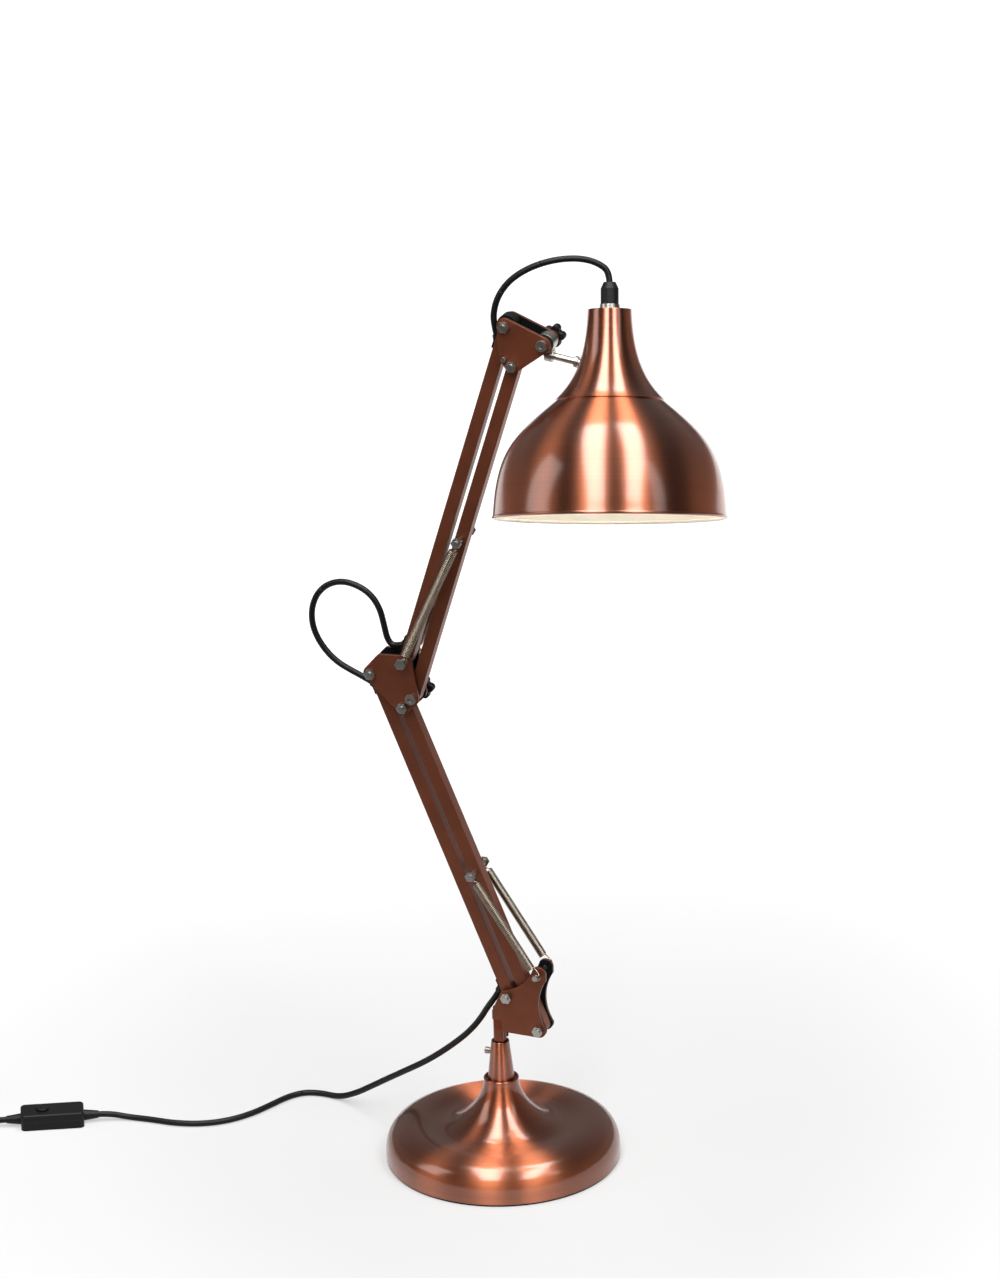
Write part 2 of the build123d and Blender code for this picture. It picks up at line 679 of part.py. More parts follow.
def make_elbow():
    """Plates that join the two arms; the bolt at F runs on outwards to carry the upper springs."""
    corners = [disc(C + in_plane(elbow_back_x, elbow_back_up), small_corner),
               disc(F + in_plane(elbow_front_x, elbow_front_up), small_corner)]
    ends = [disc(C, plate_corner), disc(D, plate_corner), disc(E, plate_corner), disc(F, boss_radius)]
    outline = hull(*ends, *corners)
    make_bracket("elbow", outline, outline, [C, D, E, F], [])
    reach = spring_plane + sleeve_length / 2 + spring_gap
    carrier = pin(F, bolt_radius, -plate_outer, plate_outer) + pin(F, anchor_pin_radius, -reach, reach)
    carrier += both_sides(hexagon(F, nut_across), reach, reach + pin_nut_height)
    nodes["elbow_bolts"] = Compound(children=pivot_bolt(C) + pivot_bolt(D) + [carrier, clamp_bolt(E)])
    nodes["elbow_knob"] = star_knob(E)


def make_head():
    corners = [disc(at, plate_corner) for at in (G, H, I)] + [disc(stop, small_corner)]
    make_bracket("head", hull(*corners), hull(*corners), [G, H, I], [])
    stop_pin = pin(stop, stop_radius, -plate_outer - stop_height, -plate_outer)
    nodes["head_bolts"] = Compound(children=pivot_bolt(G) + pivot_bolt(H) + [clamp_bolt(I), stop_pin])
    nodes["head_knob"] = star_knob(I)


def neck_curve(inset):
    """Neck's section from its top to its lip, with depth as negative height."""
    slope = radians(lip_slope)
    top = (neck_top_radius - inset, 0)
    lip = (lip_radius - inset * sin(slope), -lip_drop - inset * cos(slope))
    pull = (lip[0] - lip_pull * cos(slope), lip[1] + lip_pull * sin(slope))
    return Bezier(top, (top[0] + neck_flare, -neck_pull), pull, lip)


def rod_to_wall():
    """Distance along the rod from its foot to the neck's outer face."""
    curve = neck_curve(0)
    low, high = 0.0, 1.0
    for _ in range(40):
        middle = (low + high) / 2
        spot = curve @ middle
        rod_depth = neck_above_rod + spot.X / tan(radians(shade_angle))
        low, high = (middle, high) if -spot.Y < rod_depth else (low, middle)
    return shade_reach - (curve @ low).X / sin(radians(shade_angle))


def make_yoke():
    """Eye between the head plates with a lug below it, and the rod with a nut each side of the neck."""
    width = boss_face - eye_gap
    collar_at = rod_foot + rod_dir * (rod_start - collar_length)
    lug_outline = hull(disc(I, eye_radius - sheet), disc(collar_at, collar_length))
    lug = slab(lug_outline, -width + sheet, width - sheet)
    collar_plane = rod_plane.offset(rod_start - 2 * collar_length)
    collar = extrude(collar_plane * Circle(collar_radius), amount=2 * collar_length)
    eye = pin(I, eye_radius, -width, width) + lug + collar
    nodes["yoke_eye"] = eye - pin(I, bolt_radius + running_fit, -2 * width, 2 * width)
    wall = rod_to_wall()
    inner_nut = wall + sheet + rod_nut_gap
    end = inner_nut + rod_nut_height + rod_end
    rod = extrude(rod_plane.offset(rod_start) * Circle(rod_radius), amount=end - rod_start)
    ring = Circle(rod_nut_radius) - Circle(rod_radius + seat_fit)
    nuts = [extrude(rod_plane.offset(low) * ring, amount=rod_nut_height)
            for low in (wall - rod_nut_gap - rod_nut_height, inner_nut)]
    nodes["yoke_rod"] = Compound(children=[rod] + nuts)


def dome_curve(inset):
    """Dome's section from under the neck's lip to its rim."""
    slope = radians(dome_slope)
    start = (lip_radius - inset * sin(slope), -lip_drop - sheet - lap_gap - inset * cos(slope))
    pull = (start[0] + dome_pull * cos(slope), start[1] - dome_pull * sin(slope))
    rim_x = rim_radius - inset
    return Bezier(start, pull, (rim_x - rim_flare, rim_pull - dome_drop), (rim_x, -dome_drop))


def make_shade():
    neck = spun([neck_curve(0)], [neck_curve(sheet)])
    neck += Pos(0, 0, -sheet) * Cylinder(neck_top_radius - sheet / 2, sheet, align=standing)
    neck -= Cylinder(nipple_radius + seat_fit, 4 * sheet)
    rod_hole = extrude(rod_plane * Circle(rod_radius + running_fit), amount=shade_reach)
    nodes["shade_neck"] = shade_plane.location * neck - rod_hole
    slope = radians(dome_slope)
    outer, inner = dome_curve(0), dome_curve(sheet)
    tuck = Vector(-lap * cos(slope), lap * sin(slope))
    dome = spun([Line(outer @ 0 + tuck, outer @ 0), outer], [Line(inner @ 0 + tuck, inner @ 0), inner])
    dome += revolve(Plane.XZ * Pos(rim_radius - sheet / 2, -dome_drop) * Circle(rim_bead), Axis.Z)
    nodes["shade_dome"] = shade_plane.location * dome


def make_lamp():
    """Lampholder hung from a nipple, the lamp in it, and the gland and nut above the neck."""
    top, mouth = -holder_drop, -holder_drop - holder_height
    way = cord / 2 + liner_gap
    socket_radius = bulb_cap_radius + bulb_cap_fit
    nodes["lampholder"] = shade_plane.location * turned([
        (way, gland_nut_height), (nipple_radius, gland_nut_height), (nipple_radius, top),
        (holder_radius - holder_shoulder, top), (holder_radius, top - holder_shoulder),
        (holder_radius, mouth),
        (socket_radius, mouth), (socket_radius, top - holder_floor), (way, top - holder_floor)])
    centre = mouth - bulb_reach + bulb_radius
    cap_top = top - holder_floor - liner_gap
    bulb = Pos(0, 0, centre) * Sphere(bulb_radius)
    bulb += Pos(0, 0, centre) * Cylinder(bulb_cap_radius, cap_top - centre, align=standing)
    nodes["bulb"] = shade_plane.location * bulb
    ring = Circle(gland_nut_radius) - Circle(nipple_radius + seat_fit)
    nodes["gland_nut"] = shade_plane.location * extrude(ring, amount=gland_nut_height)
    low, high = gland_nut_height, gland_nut_height + gland_height
    bore = cord / 2 + seat_fit
    nodes["cord_gland"] = shade_plane.location * turned([
        (bore, low), (gland_radius, low), (gland_radius, high - gland_taper), (gland_tip, high),
        (bore, high)])


def lying(plane, x, z, shape, turn):
    """A turned shape laid along a plane's x axis."""
    return plane.location * Pos(x, 0, z) * Rot(0, turn, 0) * shape


def make_switch():
    """Two-part switch case with a strain relief at each end and a push button."""
    outline = RectangleRounded(switch_length, switch_width, switch_corner)
    lower = extrude(switch_plane * outline, amount=switch_split)
    upper = extrude(switch_plane.offset(switch_split) * outline, amount=switch_height - switch_split)
    upper = fillet(upper.faces().sort_by(Axis.Z)[-1].edges(), switch_edge)
    boot = Cone(relief_radius, relief_tip, relief_length, align=standing)
    middle = switch_split - tube_wall
    for sign in (-1, 1):
        lower += lying(switch_plane, sign * switch_length / 2, middle, boot, sign * 90)
    bore = lying(switch_plane, 0, middle, Cylinder(cord / 2 + seat_fit, 2 * switch_length), 90)
    button_at = switch_plane.location * Pos(button_offset, 0, 0)
    well = Cylinder(button_radius + button_gap, switch_height, align=standing)
    button = Cylinder(button_radius, button_height, align=standing)
    button = fillet(button.edges().sort_by(Axis.Z)[-1], switch_edge / 2)
    nodes["switch_base"] = lower - bore
    nodes["switch_cover"] = upper - button_at * Pos(0, 0, switch_split + tube_wall) * well - lower - bore
    nodes["switch_button"] = button_at * Pos(0, 0, switch_height + button_proud - button_height) * button
    reach = switch_length / 2 + relief_length - relief_grip
    return [switch_plane.from_local_coords(Vector(sign * reach, 0, middle)) for sign in (-1, 1)]


def make_coil():
    """Coil of cord whose layers spiral in and out and climb one layer at each change."""
    radius, steps = coil_radius, []
    for layer, halves in enumerate(coil_halves):
        change = -coil_step if layer % 2 == 0 else coil_step
        for _ in range(halves):
            steps.append((radius, 0))
            radius += change
        steps.append((radius, coil_rise))
        radius -= change
    spots, headings = [Vector(coil_radius, 0, cord_z + coil_lift)], [1]
    for radius, climb in steps[:-1]:
        spots.append(spots[-1] + Vector(-2 * radius * headings[-1], 0, climb))
        headings.append(-headings[-1])
    edges = []
    for start, end, heading in zip(spots, spots[1:], headings):
        away = coil_plane.y_dir * heading
        edges += biarc(coil_plane.from_local_coords(start), away, coil_plane.from_local_coords(end), -away)
    nodes["mains_coil"], path = swept(edges, cord / 2)
    print(f"coil, least gap {least_gap(path, cord, cord):.2f}")
    make_tie([spot for spot in spots if spot.X > 0])
    return path


def make_tie(crossings):
    """Band round the turns on one side of the coil."""
    low_x = min(spot.X for spot in crossings) - cord / 2 - tie_gap
    high_x = max(spot.X for spot in crossings) + cord / 2 + tie_gap
    high_z = max(spot.Z for spot in crossings) + cord / 2 + tie_gap
    low_z = cord_z + coil_lift - cord / 2 - tie_gap
    inner = Rectangle(high_x - low_x, high_z - low_z)
    outer = Rectangle(high_x - low_x + 2 * tie_thickness, high_z - low_z + 2 * tie_thickness)
    band = Pos((low_x + high_x) / 2, (low_z + high_z) / 2) * (outer - inner)
    nodes["coil_tie"] = coil_plane.location * extrude(Plane.XZ * band, amount=tie_width / 2, both=True)


def make_plug():
    """Flat two-pin plug, lying on the table."""
    half, neck = plug_width / 2, plug_neck / 2
    shoulder = plug_length / 2
    outline = make_face(Polyline((0, -neck), (shoulder, -half), (plug_length, -half), (plug_length, half),
                                 (shoulder, half), (0, neck), close=True))
    body = extrude(plug_plane * outline, amount=plug_thickness / 2, both=True)
    body = chamfer(body.edges().filter_by(Axis.Z), plug_chamfer)
    body += lying(plug_plane, 0, 0, Cone(relief_radius, relief_tip, relief_length, align=standing), -90)
    body -= lying(plug_plane, -relief_length, 0, Cylinder(cord / 2 + seat_fit, 2 * relief_length), 90)
    blank = Cylinder(pin_radius, pin_length + pin_depth, align=standing)
    pin_x = plug_length - pin_depth
    pins = [lying(plug_plane, pin_x, 0, Pos(0, sign * pin_spacing / 2, 0) * blank, 90) for sign in (-1, 1)]
    nodes["plug_body"] = body - pins
    nodes["plug_pins"] = Compound(children=pins)
    return plug_plane.from_local_coords(Vector(relief_grip - relief_length, 0, 0))


def ahead(before, end):
    """First point of a free cord past the end of a straight run, on the same line."""
    return end + (end - before).normalized() * free_lead


def make_cords(lower, upper, switch_ends, coil_path, plug_end):
    """The free cords between the pieces they leave and enter."""
    approach = switch_plane.x_dir * (relief_length + tube_wall)
    lead_in, lead_out = switch_ends[0] - approach, switch_ends[1] + approach
    mains = [lower[0], ahead(lower[1], lower[0])] + mains_route + [lead_in, switch_ends[0]]
    nodes["mains_cord"], mains_path = cord_tube("mains_cord", mains)
    start, end = coil_path @ 0, coil_path @ 1
    tail = [switch_ends[1], lead_out] + tail_route + [start - coil_path % 0 * relief_length, start]
    nodes["mains_cord_tail"], tail_path = cord_tube("mains_cord_tail", tail)
    plug_in = plug_end - plug_plane.x_dir * free_lead
    plug_lead = [end, end + coil_path % 1 * free_lead] + plug_route + [plug_in, plug_end]
    nodes["plug_cord"], plug_path = cord_tube("plug_cord", plug_lead)
    around = [C + Vector(*step) for step in elbow_route]
    loop = [lower[3], ahead(lower[2], lower[3])] + around + [ahead(upper[1], upper[0]), upper[0]]
    nodes["elbow_cord"], loop_path = cord_tube("elbow_cord", loop)
    gland_mouth = shade_plane.from_local_coords(Vector(0, 0, gland_nut_height + gland_height - gland_grip))
    above = gland_mouth + shade_axis * (gland_grip + free_lead)
    over = [G + Vector(*step) for step in head_route]
    arch = [upper[3], ahead(upper[2], upper[3])] + over + [above, gland_mouth]
    nodes["head_cord"], arch_path = cord_tube("head_cord", arch)
    lead = mains_path.length + tail_path.length + coil_path.length + plug_path.length
    print(f"mains lead {lead:.0f}, elbow loop {loop_path.length:.0f}, head arch {arch_path.length:.0f}")


def main():
    make_base()
    make_stem()
    make_base_bracket()
    lower_run = make_rear_bar("lower", lower_plane, lower_arm, lower_foot_exit, lower_top_exit, False)
    make_front_bar("lower", B, lower_dir, lower_arm, lower_pin)
    make_springs("lower", anchor, lower_pin)
    make_elbow()
    upper_run = make_rear_bar("upper", upper_plane, upper_arm, upper_foot_exit, upper_top_exit, True)
    make_front_bar("upper", E, upper_dir, upper_arm, upper_pin)
    make_springs("upper", F, upper_pin)
    make_head()
    make_yoke()
    make_shade()
    make_lamp()
    make_cords(lower_run, upper_run, make_switch(), make_coil(), make_plug())
    os.makedirs("parts", exist_ok=True)
    for name, shape in nodes.items():
        shape.label = name
        export_step(shape, f"parts/{name}.step")
    print(len(nodes), "nodes")


main()
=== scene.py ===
"""Articulated copper desk lamp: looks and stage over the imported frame. Sizes are in millimetres."""
import json

import bmesh
import bpy
import numpy as np
from mathutils import Matrix


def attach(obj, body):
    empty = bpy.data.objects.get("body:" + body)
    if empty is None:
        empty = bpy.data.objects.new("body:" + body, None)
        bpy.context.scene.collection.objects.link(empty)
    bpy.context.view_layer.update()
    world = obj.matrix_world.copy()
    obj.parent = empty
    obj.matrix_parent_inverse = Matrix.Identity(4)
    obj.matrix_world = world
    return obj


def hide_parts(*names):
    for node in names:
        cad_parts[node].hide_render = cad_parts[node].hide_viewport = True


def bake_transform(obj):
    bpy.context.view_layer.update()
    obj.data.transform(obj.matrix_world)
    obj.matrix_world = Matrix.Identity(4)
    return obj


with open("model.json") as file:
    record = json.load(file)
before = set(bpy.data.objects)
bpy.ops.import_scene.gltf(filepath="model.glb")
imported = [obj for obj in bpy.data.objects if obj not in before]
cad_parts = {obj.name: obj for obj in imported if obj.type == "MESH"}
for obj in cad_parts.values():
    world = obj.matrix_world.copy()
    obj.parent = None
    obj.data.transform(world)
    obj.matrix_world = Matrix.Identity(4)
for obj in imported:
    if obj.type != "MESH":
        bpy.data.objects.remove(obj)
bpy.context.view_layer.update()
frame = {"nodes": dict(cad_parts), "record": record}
MM = 0.001
TURN = 2 * np.pi

bl_info = {
    "name": "Copper desk lamp",
    "version": (1, 0, 0),
    "blender": (4, 5, 0),
    "location": "View3D > Sidebar > Desk lamp",
    "description": "Spun copper, springs, cords and a studio for an articulated desk lamp",
    "category": "Add Mesh",
}

# Places repeated from the solid model
SHADE_TOP = np.array([99.867, 16.761, 720.487])
SHADE_AXIS = np.array([-0.10562, 0.36045, 0.92678])
SPRING_ANCHOR = np.array([37.5, 0.0, 168.8])
LOWER_PIN = np.array([-15.52, 0.0, 250.10])
UPPER_FOOT = np.array([-68.45, 0.0, 425.29])
UPPER_PIN = np.array([-18.71, 0.0, 530.77])
ELBOW_KNOB = np.array([-63.05, 0.0, 394.29])
HEAD_KNOB = np.array([54.14, 0.0, 695.90])
SPRING_OFFSET = 14.3  # from the middle plane to each spring

# Sections of the spun and turned pieces, as radii and heights repeated from the solid model
SHEET = 1.2
BASE_EDGE, BASE_MOUTH, BASE_TOP, BASE_DISH = 95.0, 14.0, 31.5, 29.5
BASE_CREST, BASE_FLARE, MOUTH_HEIGHT = 70.0, 50.0, 70.0
SEAT_TOP, SEAT_EDGE, SEAT_HOLE = 68.8, 12.8, 4.25
SOCKET_TOP, SOCKET_FLOOR, SOCKET_BORE, ROD_HOLE = 102.8, 75.8, 5.87, 4.05
NECK_RADIUS, GLAND_HOLE, LIP_RADIUS = 16.9, 5.02, 41.8
RIM_RADIUS, RIM_HEIGHT = 89.3, -158.7
GLOBE_RADIUS, GLOBE_HEIGHT, CAP_RADIUS, CAP_TOP = 22.5, -127.5, 13.0, -71.3
KNOB_BACK, KNOB_STAR, KNOB_FACE, KNOB_HUB = 10.3, 14.3, 21.3, 5.0
LOW_ROUND, FACE_ROUND = 1.0, 1.2  # rounded edges of the knobs

# Cord routes, repeated from the solid model
FLOOR_Z = 2.6
MAINS_ROUTE = [
    (-0.32, 0.0, 145.07), (-4.45, 0.0, 138.22),
    (-10.8, 2.6, 129.6), (-19.6, 6.2, 115.2), (-31.5, 10.5, 100.6), (-45.5, 15.8, 87.0), (-61.0, 21.4, 73.4),
    (-78.0, 27.6, 60.0), (-96.0, 34.2, 47.6), (-115.0, 41.0, 34.6), (-133.5, 47.6, 21.6), (-150.0, 53.4, 10.4),
    (-166.5, 58.6, FLOOR_Z), (-183.0, 61.4, FLOOR_Z), (-197.6, 58.6, FLOOR_Z), (-207.6, 46.6, FLOOR_Z),
    (-215.0, 28.4, FLOOR_Z), (-223.6, 8.6, FLOOR_Z), (-237.0, -9.6, FLOOR_Z), (-255.4, -22.0, FLOOR_Z),
    (-277.6, -27.4, FLOOR_Z), (-300.0, -26.6, FLOOR_Z), (-318.6, -27.6, FLOOR_Z),
    (-334.39, -32.47, 6.0), (-346.17, -37.96, 6.0)]
ELBOW_ROUTE = [
    (-100.98, 0.0, 401.80), (-108.17, 0.0, 405.31),
    (-119.0, 0.0, 410.0), (-129.0, 0.0, 415.2), (-138.0, 0.0, 423.5), (-145.0, 0.0, 433.8),
    (-149.2, 0.0, 446.0), (-148.6, 0.0, 460.0), (-143.0, 0.0, 472.5), (-133.0, 0.0, 481.0),
    (-120.5, 0.0, 484.0), (-107.5, 0.0, 481.0), (-97.0, 0.0, 474.0), (-90.5, 0.0, 463.0),
    (-87.8, 0.0, 450.5), (-85.4, 0.0, 438.5), (-80.20, 0.0, 433.07), (-72.63, 0.0, 435.67)]
HEAD_ROUTE = [
    (13.31, 0.0, 699.57), (11.65, 0.0, 707.40),
    (11.2, 1.0, 715.0), (13.0, 2.4, 724.2), (17.6, 4.4, 733.8), (25.2, 7.2, 742.4), (36.2, 11.0, 749.6),
    (49.5, 15.0, 754.8), (63.8, 19.0, 757.5), (77.6, 22.6, 757.3), (88.4, 25.4, 753.8),
    (96.83, 27.14, 747.18), (97.99, 23.18, 736.98)]
TAIL_ROUTE = [
    (-407.83, -66.64, 6.0), (-419.61, -72.13, 6.0),
    (-433.0, -71.5, FLOOR_Z), (-445.5, -64.5, FLOOR_Z), (-455.0, -50.0, FLOOR_Z + 0.5)]
PLUG_ROUTE = [
    (-475.5, -2.0, 18.0), (-482.0, 9.4, 13.5), (-487.5, 19.6, 9.2), (-492.0, 28.14, 7.0), (-496.0, 35.07, 7.0)]
COIL_CENTRE = np.array([-497.0, -38.0, 0.0])
COIL_TURN = np.radians(30)
COIL_EASE = 1.017  # control points lie outside the arc that they draw
COIL_STOPS = [
    (32.0, 3.6), (-32.0, 3.6), (26.4, 3.6), (-26.4, 9.2), (32.0, 9.2), (-32.0, 9.2), (37.6, 9.2), (-37.6, 14.8),
    (32.0, 14.8), (-32.0, 14.8), (26.4, 14.8), (-26.4, 20.4), (32.0, 20.4), (-32.0, 20.4), (37.6, 20.4)]

# Where cords are cut so that each piece crosses one joint at most: distances, and shares of the length
MAINS_CUTS = (48.0, 262.0)
ELBOW_CUT = 0.5
HEAD_CUTS = (0.24, 0.51)
HEAD_BODIES = ("upper_rear_bar", "head_bracket", "yoke", "shade")

# Camera fitted to the photograph, in degrees, pixels, millimetres of sensor and metres
BEARING, ELEVATION, ROLL = 20.5, 20.6, -1.6
FOCAL, FRAME_HEIGHT, SENSOR = 5500, 1278, 36.0
CAMERA_AT = np.array([1.4201, -3.7730, 1.9627])

# Stage in metres: sheets by their corners to the camera's right and towards it
FLOOR_CORNERS = [(-3.0, -7.0), (3.0, -7.0), (3.0, 0.34), (-3.0, 0.34)]
GROUND_CORNERS = [(-12.0, -12.0), (12.0, -12.0), (12.0, 12.0), (-12.0, 12.0)]
GROUND_DROP = -0.004  # the ground lies under the floor
LIGHT_AIM = np.array([0.1, 0.0, 0.5])
# Softboxes by their low end, high end, width and watts
SOFTBOXES = (
    ("strip_left", (0.34, -2.90, 2.30), (-0.78, 1.08, 3.79), 0.88, 118.0),
    ("strip_right", (2.20, -2.04, 2.26), (0.29, 1.54, 3.73), 0.80, 106.0),
    ("side_left", (-2.60, -1.50, 1.00), (-2.00, -1.10, 2.80), 1.30, 22.0),
    ("side_right", (2.75, -0.75, 1.60), (2.10, -0.55, 3.20), 0.60, 8.0))

# Sockets of a colour Mix node
MIX_FROM, MIX_TO, MIX_RESULT = 6, 7, 2
# Emission of the lit globe
LAMP_STRENGTH = 8.0


def linear(code):
    """Linear colour of an sRGB hex value."""
    srgb = np.array([int(code[i:i + 2], 16) for i in (1, 3, 5)]) / 255
    return tuple(float(c) for c in np.where(srgb <= 0.04045, srgb / 12.92, ((srgb + 0.055) / 1.055)**2.4))


def tint(code, name, description):
    """Colour property from a hex value."""
    return bpy.props.FloatVectorProperty(
        name=name, description=description, default=linear(code), size=3, min=0, max=1, subtype="COLOR")


def span(size, name, description):
    """Length property from millimetres."""
    return bpy.props.FloatProperty(name=name, description=description, default=size * MM, min=0, unit="LENGTH")


class LampSizes(bpy.types.PropertyGroup):
    """Sizes of the pieces that the dressing adds."""
    cord: span(5.0, "Cord", "Outside diameter of the cord")
    wire: span(1.2, "Spring wire", "Thickness of the springs' wire")
    spring_radius: span(3.0, "Spring radius", "Radius of the springs at the middle of the wire")
    spring_pitch: span(1.42, "Spring pitch", "Rise of the springs for each turn")
    segments: bpy.props.IntProperty(name="Segments", description="Faces round a spun piece", default=192, min=24)


class LampFinishes(bpy.types.PropertyGroup):
    """Colours of the finishes."""
    copper: tint("#B96C4B", "Spun copper", "Brushed copper under clear lacquer")
    copper_dark: tint("#9E5839", "Copper rings", "Darker rings left by the brush")
    satin: tint("#854A31", "Satin copper", "Plates and tubes")
    satin_dark: tint("#6A3724", "Satin shadow", "Uneven tone of the plates and tubes")
    nylon: tint("#0D0D0E", "Nylon", "Moulded black pieces")
    nickel: tint("#B4B0AA", "Nickel", "Plated bolts, nuts and rods")
    steel: tint("#9A8E80", "Spring steel", "Drawn spring wire")
    felt: tint("#121212", "Felt", "Pad under the base")
    enamel: tint("#F3EEE4", "Enamel", "Inside of the shade")
    glow: tint("#FFF7EC", "Glow", "Light of the lamp")
    sheath: tint("#0A0A0B", "Cord sheath", "Smooth black cord")
    iron: tint("#2A2A2B", "Cast iron", "Weight inside the base")
    # Grey paint of the floor; the brightness that grows away from the lamp is painted glow added in its material
    floor: tint("#8C8C8C", "Floor", "Paint of the studio floor, which is also lit from below")
    ground: tint("#4A4A4A", "Ground", "Dark ground round the white floor")


def add(tree, kind, inputs=None, **settings):
    """Adds a node with its settings, values and links."""
    made = tree.nodes.new(kind)
    for name, value in settings.items():
        setattr(made, name, value)
    for name, value in (inputs or {}).items():
        if isinstance(value, bpy.types.NodeSocket):
            tree.links.new(value, made.inputs[name])
        else:
            made.inputs[name].default_value = value
    return made


def blank(name):
    """New empty node material."""
    material = bpy.data.materials.new(name)
    material.use_nodes = True
    material.node_tree.nodes.clear()
    return material, material.node_tree


def per_metre(size):
    """Pattern scale for a feature of this many millimetres."""
    return 1 / (size * MM)


def rgba(colour):
    """Colour with full alpha."""
    return (*colour, 1.0)


def spun_copper(look):
    """Spun copper, brushed round the axis and lacquered: fine rings, highlights drawn out along the profile."""
    material, tree = blank("spun_copper_lacquered")
    # Real brush lines are about 0.1 mm wide, too fine to show here, so they are drawn 0.9 mm wide
    uv = add(tree, "ShaderNodeUVMap", uv_map="UVMap")
    rings = add(tree, "ShaderNodeMapping", {"Vector": uv.outputs["UV"], "Scale": (2.0, per_metre(0.9), 1.0)})
    brush = add(tree, "ShaderNodeTexNoise", {"Vector": rings.outputs[0], "Scale": 1.0, "Detail": 4.0})
    broad = add(tree, "ShaderNodeMapping", {"Vector": uv.outputs["UV"], "Scale": (5.0, per_metre(12.0), 1.0)})
    cloud = add(tree, "ShaderNodeTexNoise", {"Vector": broad.outputs[0], "Scale": 1.0, "Detail": 2.0})
    tone = add(tree, "ShaderNodeMix", {"Factor": brush.outputs[0], MIX_FROM: rgba(look.copper_dark),
                                       MIX_TO: rgba(look.copper)}, data_type="RGBA")
    rough = add(tree, "ShaderNodeMapRange", {"Value": cloud.outputs[0], "To Min": 0.40, "To Max": 0.46})
    bump = add(tree, "ShaderNodeBump", {"Height": brush.outputs[0], "Strength": 0.12, "Distance": 0.05 * MM})
    along = add(tree, "ShaderNodeTangent", direction_type="UV_MAP", uv_map="UVMap")
    skin = add(tree, "ShaderNodeBsdfPrincipled", {
        "Base Color": tone.outputs[MIX_RESULT], "Metallic": 1.0, "Roughness": rough.outputs[0], "Anisotropic": 1.0,
        "Anisotropic Rotation": 0.25, "Tangent": along.outputs[0], "Normal": bump.outputs[0],
        "Coat Weight": 1.0, "Coat Roughness": 0.16, "Coat IOR": 1.6})
    add(tree, "ShaderNodeOutputMaterial", {"Surface": skin.outputs[0]})
    return material


def satin_copper(look):
    """Satin brown copper plate and tube: soft uneven tone, fine grain, edges eased by a hair."""
    material, tree = blank("satin_brown_copper")
    place = add(tree, "ShaderNodeTexCoord")
    cloud = add(tree, "ShaderNodeTexNoise", {
        "Vector": place.outputs["Object"], "Scale": per_metre(18.0), "Detail": 3.0})
    # The grain of satin plating is under 0.1 mm, so it is drawn 0.8 mm wide to show
    grain = add(tree, "ShaderNodeTexNoise", {
        "Vector": place.outputs["Object"], "Scale": per_metre(0.8), "Detail": 2.0})
    tone = add(tree, "ShaderNodeMix", {"Factor": cloud.outputs[0], MIX_FROM: rgba(look.satin_dark),
                                       MIX_TO: rgba(look.satin)}, data_type="RGBA")
    rough = add(tree, "ShaderNodeMapRange", {"Value": grain.outputs[0], "To Min": 0.34, "To Max": 0.48})
    eased = add(tree, "ShaderNodeBevel", {"Radius": 0.7 * MM}, samples=6)
    bump = add(tree, "ShaderNodeBump", {
        "Height": grain.outputs[0], "Strength": 0.08, "Distance": 0.05 * MM, "Normal": eased.outputs[0]})
    skin = add(tree, "ShaderNodeBsdfPrincipled", {
        "Base Color": tone.outputs[MIX_RESULT], "Metallic": 0.55, "Roughness": rough.outputs[0],
        "Normal": bump.outputs[0]})
    add(tree, "ShaderNodeOutputMaterial", {"Surface": skin.outputs[0]})
    return material


def moulded_nylon(look):
    """Black moulded nylon: fine spark texture and a low sheen."""
    material, tree = blank("moulded_black_nylon")
    place = add(tree, "ShaderNodeTexCoord")
    # Spark texture has pits of about 0.1 mm, drawn 0.5 mm wide to show
    grit = add(tree, "ShaderNodeTexNoise", {"Vector": place.outputs["Object"], "Scale": per_metre(0.5), "Detail": 2.0})
    rough = add(tree, "ShaderNodeMapRange", {"Value": grit.outputs[0], "To Min": 0.36, "To Max": 0.56})
    eased = add(tree, "ShaderNodeBevel", {"Radius": 0.5 * MM}, samples=4)
    bump = add(tree, "ShaderNodeBump", {
        "Height": grit.outputs[0], "Strength": 0.15, "Distance": 0.05 * MM, "Normal": eased.outputs[0]})
    skin = add(tree, "ShaderNodeBsdfPrincipled", {
        "Base Color": rgba(look.nylon), "Roughness": rough.outputs[0], "Normal": bump.outputs[0],
        "Specular IOR Level": 0.25})
    add(tree, "ShaderNodeOutputMaterial", {"Surface": skin.outputs[0]})
    return material


def plated_nickel(look):
    """Bright nickel plate: clear reflections, faint wipe marks, eased edges."""
    material, tree = blank("bright_nickel_plate")
    place = add(tree, "ShaderNodeTexCoord")
    wipe = add(tree, "ShaderNodeTexNoise", {"Vector": place.outputs["Object"], "Scale": per_metre(2.5), "Detail": 3.0})
    rough = add(tree, "ShaderNodeMapRange", {"Value": wipe.outputs[0], "To Min": 0.26, "To Max": 0.38})
    eased = add(tree, "ShaderNodeBevel", {"Radius": 0.4 * MM}, samples=6)
    skin = add(tree, "ShaderNodeBsdfPrincipled", {
        "Base Color": rgba(look.nickel), "Metallic": 1.0, "Roughness": rough.outputs[0], "Normal": eased.outputs[0]})
    add(tree, "ShaderNodeOutputMaterial", {"Surface": skin.outputs[0]})
    return material


